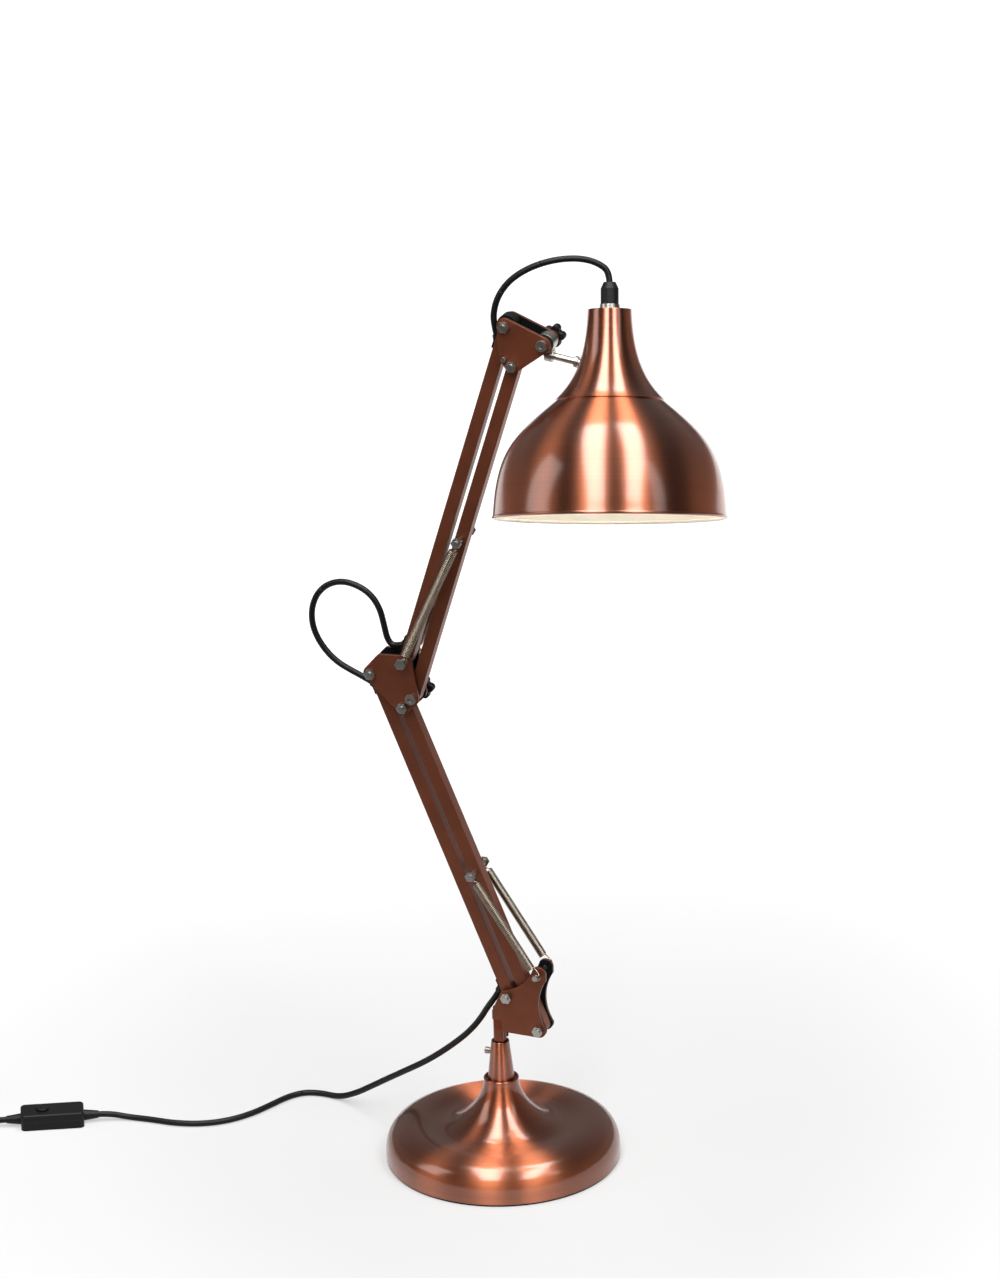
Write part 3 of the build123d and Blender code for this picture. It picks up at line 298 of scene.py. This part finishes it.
def spring_wire(look):
    """Drawn spring wire: lines along the wire."""
    material, tree = blank("drawn_spring_wire")
    uv = add(tree, "ShaderNodeUVMap", uv_map="UVMap")
    lines = add(tree, "ShaderNodeMapping", {"Vector": uv.outputs["UV"], "Scale": (24.0, per_metre(30.0), 1.0)})
    draw = add(tree, "ShaderNodeTexNoise", {"Vector": lines.outputs[0], "Scale": 1.0, "Detail": 2.0})
    rough = add(tree, "ShaderNodeMapRange", {"Value": draw.outputs[0], "To Min": 0.16, "To Max": 0.28})
    skin = add(tree, "ShaderNodeBsdfPrincipled", {
        "Base Color": rgba(look.steel), "Metallic": 1.0, "Roughness": rough.outputs[0]})
    add(tree, "ShaderNodeOutputMaterial", {"Surface": skin.outputs[0]})
    return material


def pressed_felt(look):
    """Pressed black felt: short fibres and a soft sheen."""
    material, tree = blank("pressed_black_felt")
    place = add(tree, "ShaderNodeTexCoord")
    fibre = add(tree, "ShaderNodeTexNoise", {
        "Vector": place.outputs["Object"], "Scale": per_metre(0.7), "Detail": 6.0, "Distortion": 1.5})
    bump = add(tree, "ShaderNodeBump", {"Height": fibre.outputs[0], "Strength": 0.6, "Distance": 0.3 * MM})
    skin = add(tree, "ShaderNodeBsdfPrincipled", {
        "Base Color": rgba(look.felt), "Roughness": 0.95, "Normal": bump.outputs[0], "Sheen Weight": 0.3})
    add(tree, "ShaderNodeOutputMaterial", {"Surface": skin.outputs[0]})
    return material


def white_enamel(look):
    """Sprayed white enamel: gloss over a slight orange peel."""
    material, tree = blank("sprayed_white_enamel")
    place = add(tree, "ShaderNodeTexCoord")
    peel = add(tree, "ShaderNodeTexNoise", {"Vector": place.outputs["Object"], "Scale": per_metre(1.5), "Detail": 1.0})
    bump = add(tree, "ShaderNodeBump", {"Height": peel.outputs[0], "Strength": 0.08, "Distance": 0.05 * MM})
    rough = add(tree, "ShaderNodeMapRange", {"Value": peel.outputs[0], "To Min": 0.24, "To Max": 0.34})
    skin = add(tree, "ShaderNodeBsdfPrincipled", {
        "Base Color": rgba(look.enamel), "Roughness": rough.outputs[0], "Normal": bump.outputs[0]})
    add(tree, "ShaderNodeOutputMaterial", {"Surface": skin.outputs[0]})
    return material


def opal_glass(look):
    """Lit opal glass: even warm light behind a glossy skin."""
    material, tree = blank("lit_opal_glass")
    place = add(tree, "ShaderNodeTexCoord")
    milk = add(tree, "ShaderNodeTexNoise", {"Vector": place.outputs["Object"], "Scale": per_metre(20.0)})
    tone = add(tree, "ShaderNodeMix", {"Factor": milk.outputs[0], MIX_FROM: rgba(look.glow),
                                       MIX_TO: rgba(look.enamel)}, data_type="RGBA")
    skin = add(tree, "ShaderNodeBsdfPrincipled", {
        "Base Color": tone.outputs[MIX_RESULT], "Roughness": 0.2, "Emission Color": rgba(look.glow),
        "Emission Strength": LAMP_STRENGTH})
    add(tree, "ShaderNodeOutputMaterial", {"Surface": skin.outputs[0]})
    return material


def cord_sheath(look):
    """Extruded black cord sheath: satin, with faint uneven ripples."""
    material, tree = blank("extruded_cord_sheath")
    place = add(tree, "ShaderNodeTexCoord")
    ripple = add(tree, "ShaderNodeTexNoise", {
        "Vector": place.outputs["Object"], "Scale": per_metre(1.2), "Detail": 2.0})
    bump = add(tree, "ShaderNodeBump", {"Height": ripple.outputs[0], "Strength": 0.1, "Distance": 0.1 * MM})
    rough = add(tree, "ShaderNodeMapRange", {"Value": ripple.outputs[0], "To Min": 0.38, "To Max": 0.52})
    skin = add(tree, "ShaderNodeBsdfPrincipled", {
        "Base Color": rgba(look.sheath), "Roughness": rough.outputs[0], "Normal": bump.outputs[0],
        "Specular IOR Level": 0.25})
    add(tree, "ShaderNodeOutputMaterial", {"Surface": skin.outputs[0]})
    return material


def cast_iron(look):
    """Sand-cast iron: coarse skin."""
    material, tree = blank("sand_cast_iron")
    place = add(tree, "ShaderNodeTexCoord")
    sand = add(tree, "ShaderNodeTexNoise", {"Vector": place.outputs["Object"], "Scale": per_metre(1.0), "Detail": 5.0})
    bump = add(tree, "ShaderNodeBump", {"Height": sand.outputs[0], "Strength": 0.5, "Distance": 0.3 * MM})
    skin = add(tree, "ShaderNodeBsdfPrincipled", {
        "Base Color": rgba(look.iron), "Metallic": 0.6, "Roughness": 0.7, "Normal": bump.outputs[0]})
    add(tree, "ShaderNodeOutputMaterial", {"Surface": skin.outputs[0]})
    return material


def studio_floor(look):
    """Matt white studio floor: painted glow, seen only by camera and mirror rays, grows from near the lamp to far from
    it, so the floor turns white away from the lamp; it keeps the lamp's shadow.
    """
    material, tree = blank("matt_studio_floor_painted_glow")
    place = add(tree, "ShaderNodeTexCoord")
    away = add(tree, "ShaderNodeVectorMath", {0: place.outputs["Object"]}, operation="LENGTH")
    # Painted glow: its strength grows with the distance from the lamp
    share = add(tree, "ShaderNodeMapRange", {
        "Value": away.outputs["Value"], "From Min": 0.15, "From Max": 1.4, "To Min": 0.46, "To Max": 0.92},
        interpolation_type="SMOOTHSTEP")
    # The painted glow is seen only by camera, mirror and transmission rays, not by diffuse light
    path = add(tree, "ShaderNodeLightPath")
    mirrored = add(tree, "ShaderNodeMath", {0: path.outputs["Is Camera Ray"], 1: path.outputs["Is Glossy Ray"]},
                   operation="ADD")
    seen = add(tree, "ShaderNodeMath", {0: mirrored.outputs[0], 1: path.outputs["Is Transmission Ray"]},
               operation="ADD", use_clamp=True)
    glow = add(tree, "ShaderNodeMath", {0: seen.outputs[0], 1: share.outputs[0]}, operation="MULTIPLY")
    paint = add(tree, "ShaderNodeBsdfDiffuse", {"Color": rgba(look.floor), "Roughness": 0.3})
    light = add(tree, "ShaderNodeEmission", {"Strength": glow.outputs[0]})
    both = add(tree, "ShaderNodeAddShader", {0: paint.outputs[0], 1: light.outputs[0]})
    add(tree, "ShaderNodeOutputMaterial", {"Surface": both.outputs[0]})
    return material


def studio_ground(look):
    """Dark matt ground round and under the white floor."""
    material, tree = blank("dark_studio_ground")
    place = add(tree, "ShaderNodeTexCoord")
    cloud = add(tree, "ShaderNodeTexNoise", {"Vector": place.outputs["Object"], "Scale": per_metre(300.0)})
    rough = add(tree, "ShaderNodeMapRange", {"Value": cloud.outputs[0], "To Min": 0.8, "To Max": 0.95})
    skin = add(tree, "ShaderNodeBsdfPrincipled", {
        "Base Color": rgba(look.ground), "Roughness": rough.outputs[0], "Specular IOR Level": 0.1})
    add(tree, "ShaderNodeOutputMaterial", {"Surface": skin.outputs[0]})
    return material


FINISHES = {
    "copper": spun_copper, "satin_copper": satin_copper, "nylon": moulded_nylon, "nickel": plated_nickel,
    "spring_steel": spring_wire, "felt": pressed_felt, "lamp_glass": opal_glass, "cord": cord_sheath,
    "iron": cast_iron, "enamel": white_enamel, "floor": studio_floor, "ground": studio_ground}
finished = {}


def finish(name):
    """Material by its slot, made once."""
    if name not in finished:
        finished[name] = FINISHES[name](bpy.context.scene.lamp_finishes)
    return finished[name]


def surface(name, grid, slots, ring=False, inside=None):
    """Mesh over a grid of points closed round its columns, with a UV map of turn and length in metres.

    ring also closes the rows. inside gives the first and last row whose faces take the second slot.
    """
    rows, columns = grid.shape[:2]
    strips = rows if ring else rows - 1
    i, j = np.meshgrid(np.arange(strips), np.arange(columns), indexing="ij")
    after, beside = (i + 1) % rows, (j + 1) % columns
    faces = np.stack([i * columns + j, i * columns + beside, after * columns + beside, after * columns + j], -1)
    mesh = bpy.data.meshes.new(name)
    mesh.from_pydata((grid.reshape(-1, 3) * MM).tolist(), [], faces.reshape(-1, 4).tolist())
    steps = np.linalg.norm(np.diff(grid, axis=0, append=grid[:1]), axis=2).max(axis=1)
    length = np.concatenate([[0.0], np.cumsum(steps)]) * MM
    u, v = np.stack([j, j + 1, j + 1, j], -1) / columns, length[np.stack([i, i, i + 1, i + 1], -1)]
    layer = mesh.uv_layers.new(name="UVMap")
    layer.data.foreach_set("uv", np.stack([u, v], -1).ravel())
    for slot in slots:
        mesh.materials.append(finish(slot))
    if inside:
        lining = ((i >= inside[0]) & (i < inside[1])).astype(np.int32)
        mesh.polygons.foreach_set("material_index", lining.ravel())
    work = bmesh.new()
    work.from_mesh(mesh)
    bmesh.ops.remove_doubles(work, verts=work.verts, dist=1e-7)
    bmesh.ops.recalc_face_normals(work, faces=work.faces)
    work.to_mesh(mesh)
    work.free()
    mesh.shade_smooth()
    piece = bpy.data.objects.new(name, mesh)
    bpy.context.scene.collection.objects.link(piece)
    return piece


def sharpen(piece):
    """Keeps the edges of a turned or moulded piece crisp."""
    piece.data.set_sharp_from_angle(angle=np.radians(35))


def bezier(start, pull, push, end, count):
    """Cubic curve from start to end, drawn towards the two points between them."""
    t = np.linspace(0, 1, count)[:, None]
    weights = np.hstack([(1 - t)**3, 3 * t * (1 - t)**2, 3 * t**2 * (1 - t), t**3])
    return weights @ np.array([start, pull, push, end])


def arc(centre, radius, start, end, count):
    """Arc between two angles in degrees."""
    angle = np.radians(np.linspace(start, end, count))
    return np.array(centre) + radius * np.stack([np.cos(angle), np.sin(angle)], -1)


def square_to(axis):
    """Two directions square to an axis and to each other."""
    first = np.cross([0.0, 1.0, 0.0], axis)
    first = first / np.linalg.norm(first)
    return first, np.cross(axis, first)


def revolved(name, profile, origin, axis, slots, ring=True, inside=None):
    """Radius and height carried round an axis: origin + radius (cos, sin) + height along the axis."""
    angle = np.linspace(0, TURN, bpy.context.scene.lamp_sizes.segments, endpoint=False)
    across, beside = square_to(axis)
    around = np.cos(angle)[:, None] * across + np.sin(angle)[:, None] * beside
    grid = origin + profile[:, :1, None] * around + profile[:, 1:, None] * axis
    return surface(name, grid, slots, ring, inside)


def carried(name, path, radius, steady, slot, count):
    """Round profile carried along a path, turned by a direction that the path never follows, and closed."""
    tangent = np.gradient(path, axis=0)
    side = np.cross(tangent, steady)
    side = side / np.linalg.norm(side, axis=1, keepdims=True)
    over = np.cross(tangent, side)
    over = over / np.linalg.norm(over, axis=1, keepdims=True)
    angle = np.linspace(0, TURN, count, endpoint=False)[None, :, None]
    walls = path[:, None] + radius * (np.cos(angle) * side[:, None] + np.sin(angle) * over[:, None])
    caps = np.repeat(path[[0, -1], None], count, axis=1)
    return surface(name, np.concatenate([caps[:1], walls, caps[1:]]), [slot])


def base_wall(inset):
    """Base cover's section from foot to mouth, moved in by a thickness."""
    edge, mouth, top, dish = BASE_EDGE - inset, BASE_MOUTH - inset, BASE_TOP - inset, BASE_DISH - inset
    middle = (BASE_CREST + BASE_FLARE) / 2
    return np.concatenate([
        [(edge, 2.0)],
        bezier((edge, 9.0), (edge, 22.0), (88.0, top), (BASE_CREST, top), 32),
        bezier((BASE_CREST, top), (middle, top), (middle, dish), (BASE_FLARE, dish), 16)[1:],
        bezier((BASE_FLARE, dish), (37.0, dish), (mouth, 50.0 - inset), (mouth, MOUTH_HEIGHT), 40)[1:]])


def neck_wall(inset):
    """Shade neck's section from its top to its lip."""
    slope = np.radians(42.6)
    lip = np.array([LIP_RADIUS - inset * np.sin(slope), -68.7 - inset * np.cos(slope)])
    pull = lip + 26.0 * np.array([-np.cos(slope), np.sin(slope)])
    return bezier((NECK_RADIUS - inset, -inset), (18.0 - inset, -28.0), pull, lip, 48)


def dome_wall(inset):
    """Shade dome's section from under the neck's lip to its rim, with the lapped edge first."""
    slope = np.radians(39.2)
    start = np.array([LIP_RADIUS - inset * np.sin(slope), -70.15 - inset * np.cos(slope)])
    down = np.array([np.cos(slope), -np.sin(slope)])
    rim = RIM_RADIUS - inset
    curve = bezier(start, start + 42.0 * down, (rim - 2.5, -108.7), (rim, RIM_HEIGHT), 64)
    return np.concatenate([[start - 6.0 * down], curve])


def spring_path(start, end, side, radius, pitch):
    """One wire: hook round the start pin, helix that rises evenly along the axis, hook round the end pin."""
    axis = (end - start) / np.linalg.norm(end - start)
    length = np.linalg.norm(end - start)
    across, sideways = np.array([axis[2], 0.0, -axis[0]]), np.array([0.0, 1.0, 0.0])
    rise = 7.5
    turns = round((length - 2 * rise) / pitch)
    hook = np.radians(np.linspace(200, 360, 24))
    climb = np.linspace(0, 1, 12)[1:-1]
    turn = np.linspace(0, TURN * turns, 16 * turns + 1)
    quarter = climb * np.pi / 2
    bend = np.stack([radius * np.cos(hook), 0 * hook, radius * np.sin(hook)], -1)
    lead = np.stack([radius * np.cos(quarter), radius * np.sin(quarter), rise * climb * (2 - climb) ** 0.5], -1)
    coil = np.stack([radius * np.cos(turn + np.pi / 2), radius * np.sin(turn + np.pi / 2),
                     rise + (length - 2 * rise) * turn / turn[-1]], -1)
    tail = lead[::-1] * [-1, 1, -1] + [0, 0, length]
    close = bend[::-1] * [-1, 1, -1] + [0, 0, length]
    local = np.concatenate([bend, lead, coil, tail, close])
    origin = start + sideways * side * SPRING_OFFSET
    path = origin + local[:, :1] * across + local[:, 1:2] * sideways + local[:, 2:] * axis
    return path, (axis + sideways) / np.sqrt(2), origin, axis, length


def star_ring(angle):
    """Knob's outline: radius of a round web and of five round lobes, joined by a ninth-power sum that eases corners."""
    lobe, reach, web = 3.1, 6.2, 6.6
    nearest = (angle + np.pi / 5) % (TURN / 5) - np.pi / 5
    root = np.clip(lobe**2 - (reach * np.sin(nearest))**2, 0, None)
    petal = np.where(root > 0, reach * np.cos(nearest) + np.sqrt(root), 0)
    return (petal**9 + web**9)**(1 / 9) - 0.15


def spline_points(route):
    """Points along the NURBS line that a route's points control."""
    line = bpy.data.curves.new("cord_line", "CURVE")
    line.dimensions = "3D"
    spline = line.splines.new("NURBS")
    route = np.asarray(route, float)
    spline.points.add(len(route) - 1)
    spline.points.foreach_set("co", np.hstack([route, np.ones((len(route), 1))]).ravel())
    spline.order_u = 3
    spline.use_endpoint_u = True
    spline.resolution_u = 10
    holder = bpy.data.objects.new("cord_line", line)
    mesh = bpy.data.meshes.new_from_object(holder)
    points = np.empty(3 * len(mesh.vertices))
    mesh.vertices.foreach_get("co", points)
    bpy.data.objects.remove(holder)
    bpy.data.meshes.remove(mesh)
    bpy.data.curves.remove(line)
    points = points.reshape(-1, 3)
    apart = np.linalg.norm(np.diff(points, axis=0, prepend=points[:1] - 1), axis=1)
    return points[apart > 1e-4]


def line_length(points):
    """Length of a line of points."""
    return float(np.linalg.norm(np.diff(points, axis=0), axis=1).sum())


def cut(points, *stops):
    """Splits a line at these distances along it."""
    along = np.concatenate([[0], np.cumsum(np.linalg.norm(np.diff(points, axis=0), axis=1))])
    marks = [0] + [int(np.searchsorted(along, stop)) for stop in stops] + [len(points) - 1]
    return [points[a:b + 1] for a, b in zip(marks, marks[1:])]


def cord_piece(name, points, steady, node):
    """Tube along a cord's line; the cord's solid nodes are hidden."""
    size = bpy.context.scene.lamp_sizes.cord
    piece = carried(name, points, size / MM / 2, steady, "cord", 16)
    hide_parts(*node)
    return piece


def bent(piece):
    """Bakes a cord piece's placement into its mesh."""
    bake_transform(piece)


def placed(right, up, back, at):
    """Matrix of three directions and a place."""
    turned = np.eye(4)
    turned[:3] = np.stack([right, up, back, at], -1)
    return Matrix(turned.tolist())


class LAMP_OT_base(bpy.types.Operator):
    """Spun base cover and the tapered socket on it"""
    bl_idname = "lamp.base"
    bl_label = "Base"

    def execute(self, context):
        up = np.array([0.0, 0.0, 1.0])
        outer, inner = base_wall(0), base_wall(SHEET)
        rim = arc((13.4, MOUTH_HEIGHT), 0.9, -48, 228, 15)
        under = SEAT_TOP - SHEET
        seat = [(SEAT_EDGE, SEAT_TOP), (SEAT_HOLE, SEAT_TOP), (SEAT_HOLE, under), (SEAT_EDGE, under)]
        profile = np.concatenate([outer[outer[:, 1] < 69.0], rim, seat, inner[inner[:, 1] < 67.0][::-1]])
        cover = revolved("base_cover_spun", profile, np.zeros(3), up, ["copper"])
        sharpen(cover)
        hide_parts("base_cover")
        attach(cover, "base")
        profile = np.concatenate([
            [(ROD_HOLE, SEAT_TOP)],
            arc((10.4, SEAT_TOP + 0.6), 0.6, -90, 0, 5),
            arc((6.8, SOCKET_TOP - 0.5), 0.5, 6, 90, 5),
            [(SOCKET_BORE, SOCKET_TOP), (SOCKET_BORE, SOCKET_FLOOR), (ROD_HOLE, SOCKET_FLOOR)]])
        socket = revolved("stem_socket_turned", profile, np.zeros(3), up, ["copper"])
        sharpen(socket)
        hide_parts("stem_socket")
        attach(socket, "base")
        return {"FINISHED"}


class LAMP_OT_shade(bpy.types.Operator):
    """Spun neck and dome of the shade, and the lamp inside"""
    bl_idname = "lamp.shade"
    bl_label = "Shade"

    def execute(self, context):
        outer, inner = neck_wall(0), neck_wall(SHEET)[::-1]
        crown = arc((16.3, -0.6), 0.6, 90, 0, 5)
        profile = np.concatenate([[(GLAND_HOLE, 0.0)], crown, outer[1:], inner, [(GLAND_HOLE, -SHEET)]])
        neck = revolved("shade_neck_spun", profile, SHADE_TOP, SHADE_AXIS, ["copper"])
        outer, inner = dome_wall(0), dome_wall(SHEET)[::-1]
        bead = arc((88.7, RIM_HEIGHT), 1.3, 62, -242, 21)
        profile = np.concatenate([outer[:-1], bead, inner[1:]])
        lining = (len(outer) - 1 + len(bead) // 2, len(profile) - 1)
        dome = revolved("shade_dome_spun", profile, SHADE_TOP, SHADE_AXIS, ["copper", "enamel"], inside=lining)
        globe = arc((0.0, GLOBE_HEIGHT), GLOBE_RADIUS, -90, 52, 32)
        throat = bezier(globe[-1], globe[-1] + [-2.2, 2.8], (CAP_RADIUS, -106.0), (CAP_RADIUS, -102.0), 10)[1:]
        profile = np.concatenate([globe, throat, [(CAP_RADIUS, CAP_TOP), (0.0, CAP_TOP)]])
        profile[0, 0] = 0.0
        lamp = revolved("lamp_globe", profile, SHADE_TOP, SHADE_AXIS, ["lamp_glass"], ring=False)
        for piece, node in ((neck, "shade_neck"), (dome, "shade_dome"), (lamp, "bulb")):
            sharpen(piece)
            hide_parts(node)
            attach(piece, "shade")
        return {"FINISHED"}


class LAMP_OT_springs(bpy.types.Operator):
    """Close-coiled extension springs of both arms"""
    bl_idname = "lamp.springs"
    bl_label = "Springs"

    def execute(self, context):
        sizes = context.scene.lamp_sizes
        for arm, start, end in (("lower", SPRING_ANCHOR, LOWER_PIN), ("upper", UPPER_FOOT, UPPER_PIN)):
            for place, side in (("front", -1), ("back", 1)):
                path, steady, origin, axis, length = spring_path(
                    start, end, side, sizes.spring_radius / MM, sizes.spring_pitch / MM)
                spring = carried(f"{arm}_spring_{place}", path, sizes.wire / MM / 2, steady, "spring_steel", 8)
                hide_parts(f"{arm}_springs")
                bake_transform(spring)
        return {"FINISHED"}


class LAMP_OT_knobs(bpy.types.Operator):
    """Five-lobed clamp knobs"""
    bl_idname = "lamp.knobs"
    bl_label = "Knobs"

    def execute(self, context):
        angle = np.linspace(0, TURN, 160, endpoint=False)
        star, hub = star_ring(angle), np.full_like(angle, KNOB_HUB)
        edge = np.radians(np.linspace(0, 90, 6))
        heights = np.concatenate([
            [KNOB_BACK, KNOB_BACK, KNOB_STAR], KNOB_STAR + LOW_ROUND * (1 - np.cos(edge[1:])),
            KNOB_FACE - FACE_ROUND * (1 - np.sin(edge)), [KNOB_FACE]])
        rings = np.concatenate([
            [0 * hub, hub, hub], star - LOW_ROUND * (1 - np.sin(edge[1:])[:, None]),
            star - FACE_ROUND * (1 - np.cos(edge)[:, None]), [0 * hub]])
        for name, at in (("elbow_knob", ELBOW_KNOB), ("head_knob", HEAD_KNOB)):
            grid = np.stack([at[0] + rings * np.cos(angle), np.broadcast_to(heights[:, None], rings.shape),
                             at[2] + rings * np.sin(angle)], -1)
            knob = surface(f"{name}_moulded", grid, ["nylon"])
            sharpen(knob)
            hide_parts(name)
            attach(knob, name)
        return {"FINISHED"}


class LAMP_OT_cords(bpy.types.Operator):
    """Mains lead, elbow loop and head arch"""
    bl_idname = "lamp.cords"
    bl_label = "Cords"

    def execute(self, context):
        up, side = np.array([0.0, 0.0, 1.0]), np.array([0.0, 1.0, 0.0])
        line = spline_points(MAINS_ROUTE)
        top, drop, floor = cut(line, *MAINS_CUTS)
        piece = cord_piece("mains_lead_top", top, up, ["mains_cord"])
        bent(piece)
        piece = cord_piece("mains_lead_drop", drop, up, ["mains_cord"])
        bent(piece)
        piece = cord_piece("mains_lead_floor", floor, up, ["mains_cord"])
        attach(piece, "base")
        line = spline_points(self.tail())
        piece = cord_piece("mains_lead_coil", line, up, ["mains_cord_tail", "mains_coil", "plug_cord"])
        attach(piece, "base")
        line = spline_points(ELBOW_ROUTE)
        first, second = cut(line, ELBOW_CUT * line_length(line))
        piece = cord_piece("elbow_loop_lower", first, side, ["elbow_cord"])
        bent(piece)
        piece = cord_piece("elbow_loop_upper", second, side, ["elbow_cord"])
        bent(piece)
        line = spline_points(HEAD_ROUTE)
        parts = cut(line, *(share * line_length(line) for share in HEAD_CUTS))
        steady = np.array([-0.3, 0.954, 0.0])
        for number, (points, first, second) in enumerate(zip(parts, HEAD_BODIES, HEAD_BODIES[1:])):
            piece = cord_piece(f"head_arch_{number}", points, steady, ["head_cord"])
            bent(piece)
        return {"FINISHED"}

    def tail(self):
        """Route from the switch through the coil's half turns to the plug."""
        stops = np.array(COIL_STOPS)
        angle = np.radians(np.arange(15, 180, 30))
        middle, reach = (stops[:-1, 0] + stops[1:, 0]) / 2, (stops[:-1, 0] - stops[1:, 0]) / 2
        x = middle[:, None] + reach[:, None] * np.cos(angle) * COIL_EASE
        y = reach[:, None] * np.sin(angle) * COIL_EASE
        z = stops[:-1, 1:] + np.diff(stops[:, 1])[:, None] * angle / np.pi
        local = np.stack([x.ravel(), y.ravel(), z.ravel()], -1)
        cos, sin = np.cos(COIL_TURN), np.sin(COIL_TURN)
        turn = np.array([[cos, sin, 0], [-sin, cos, 0], [0, 0, 1]])
        return np.concatenate([TAIL_ROUTE, COIL_CENTRE + local @ turn, PLUG_ROUTE])


class LAMP_OT_finishes(bpy.types.Operator):
    """Finishes of the pieces that keep their solid shape"""
    bl_idname = "lamp.finishes"
    bl_label = "Finishes"

    def execute(self, context):
        slots = {part["node"]: part["material_slot"] for part in frame["record"]["subparts"]}
        for name, node in frame["nodes"].items():
            for place in node.material_slots:
                place.material = finish(slots[name])
        return {"FINISHED"}


class LAMP_OT_stage(bpy.types.Operator):
    """Floor, lights, world and camera"""
    bl_idname = "lamp.stage"
    bl_label = "Stage"

    def execute(self, context):
        scene = context.scene
        scene.view_settings.view_transform = "Standard"
        bearing = np.radians(BEARING)
        axes = np.array([[np.cos(bearing), np.sin(bearing)], [np.sin(bearing), -np.cos(bearing)]])
        floor = self.sheet("studio_floor", np.array(FLOOR_CORNERS) @ axes, 0.0, "floor")
        ground = self.sheet("studio_ground", np.array(GROUND_CORNERS) @ axes, GROUND_DROP, "ground")
        scene.world = self.world(axes[1])
        for name, low, high, width, power in SOFTBOXES:
            self.softbox(name, np.array(low), np.array(high), width, power)
        self.camera(scene)
        return {"FINISHED"}

    def sheet(self, name, corners, height, slot):
        """Flat sheet of the stage, facing up."""
        mesh = bpy.data.meshes.new(name)
        mesh.from_pydata(np.insert(corners, 2, height, axis=1).tolist(), [], [(3, 2, 1, 0)])
        mesh.materials.append(finish(slot))
        piece = bpy.data.objects.new(name, mesh)
        bpy.context.scene.collection.objects.link(piece)
        return piece

    def world(self, front):
        """Dim room, lighter behind the lamp and darker towards the ground."""
        world = bpy.data.worlds.new("studio")
        world.use_nodes = True
        tree = world.node_tree
        tree.nodes.clear()
        way = add(tree, "ShaderNodeTexCoord")
        behind = add(tree, "ShaderNodeVectorMath", {0: way.outputs["Generated"], 1: (*-front, 0.0)},
                     operation="DOT_PRODUCT")
        level = add(tree, "ShaderNodeMapRange", {
            "Value": behind.outputs["Value"], "From Min": -0.2, "From Max": 0.9, "To Min": 0.07, "To Max": 0.30})
        apart = add(tree, "ShaderNodeSeparateXYZ", {0: way.outputs["Generated"]})
        lift = add(tree, "ShaderNodeMapRange", {
            "Value": apart.outputs["Z"], "From Min": 0.0, "From Max": 0.25, "To Min": 0.15, "To Max": 1.0})
        share = add(tree, "ShaderNodeMath", {0: level.outputs[0], 1: lift.outputs[0]}, operation="MULTIPLY")
        sky = add(tree, "ShaderNodeBackground", {"Strength": share.outputs[0]})
        add(tree, "ShaderNodeOutputWorld", {"Surface": sky.outputs[0]})
        return world

    def softbox(self, name, low, high, width, power):
        """Long softbox between two points, facing the lamp."""
        light = bpy.data.lights.new(name, "AREA")
        light.shape, light.size, light.size_y, light.energy = (
            "RECTANGLE", width, float(np.linalg.norm(high - low)), power)
        holder = bpy.data.objects.new(name, light)
        middle, up = (low + high) / 2, (high - low) / np.linalg.norm(high - low)
        right = np.cross(up, middle - LIGHT_AIM)
        right = right / np.linalg.norm(right)
        holder.matrix_world = placed(right, up, np.cross(right, up), middle)
        bpy.context.scene.collection.objects.link(holder)

    def camera(self, scene):
        """Long lens from the right and above, rolled slightly as in the photograph."""
        bearing, height, roll = np.radians([BEARING, ELEVATION, ROLL])
        level = np.array([np.cos(bearing), np.sin(bearing), 0.0])
        back = np.array([np.sin(bearing) * np.cos(height), -np.cos(bearing) * np.cos(height), np.sin(height)])
        upright = np.cross(back, level)
        right = level * np.cos(roll) + upright * np.sin(roll)
        up = upright * np.cos(roll) - level * np.sin(roll)
        lens = bpy.data.cameras.new("photo_camera")
        lens.lens, lens.sensor_width, lens.clip_end = FOCAL * SENSOR / FRAME_HEIGHT, SENSOR, 100.0
        camera = bpy.data.objects.new("photo_camera", lens)
        camera.matrix_world = placed(right, up, back, CAMERA_AT)
        scene.collection.objects.link(camera)
        scene.camera = camera


PIECES = (LAMP_OT_base, LAMP_OT_shade, LAMP_OT_springs, LAMP_OT_knobs, LAMP_OT_cords, LAMP_OT_finishes, LAMP_OT_stage)


class LAMP_PT_panel(bpy.types.Panel):
    """Sizes, finishes and pieces of the lamp"""
    bl_idname = "LAMP_PT_panel"
    bl_label = "Desk lamp"
    bl_space_type = "VIEW_3D"
    bl_region_type = "UI"
    bl_category = "Desk lamp"

    def draw(self, context):
        for group in (context.scene.lamp_sizes, context.scene.lamp_finishes):
            for name in group.__annotations__:
                self.layout.prop(group, name)
        for piece in PIECES:
            self.layout.operator(piece.bl_idname)


CLASSES = (LampSizes, LampFinishes, *PIECES, LAMP_PT_panel)


def register():
    """Adds the classes and the scene's two property groups."""
    for kind in CLASSES:
        bpy.utils.register_class(kind)
    bpy.types.Scene.lamp_sizes = bpy.props.PointerProperty(type=LampSizes)
    bpy.types.Scene.lamp_finishes = bpy.props.PointerProperty(type=LampFinishes)


def unregister():
    """Takes away what register added."""
    del bpy.types.Scene.lamp_finishes
    del bpy.types.Scene.lamp_sizes
    for kind in reversed(CLASSES):
        bpy.utils.unregister_class(kind)


def main():
    """Builds the lamp and its stage."""
    register()
    bpy.ops.lamp.base()
    bpy.ops.lamp.shade()
    bpy.ops.lamp.springs()
    bpy.ops.lamp.knobs()
    bpy.ops.lamp.cords()
    bpy.ops.lamp.finishes()
    bpy.ops.lamp.stage()


if __name__ == "__main__":
    main()
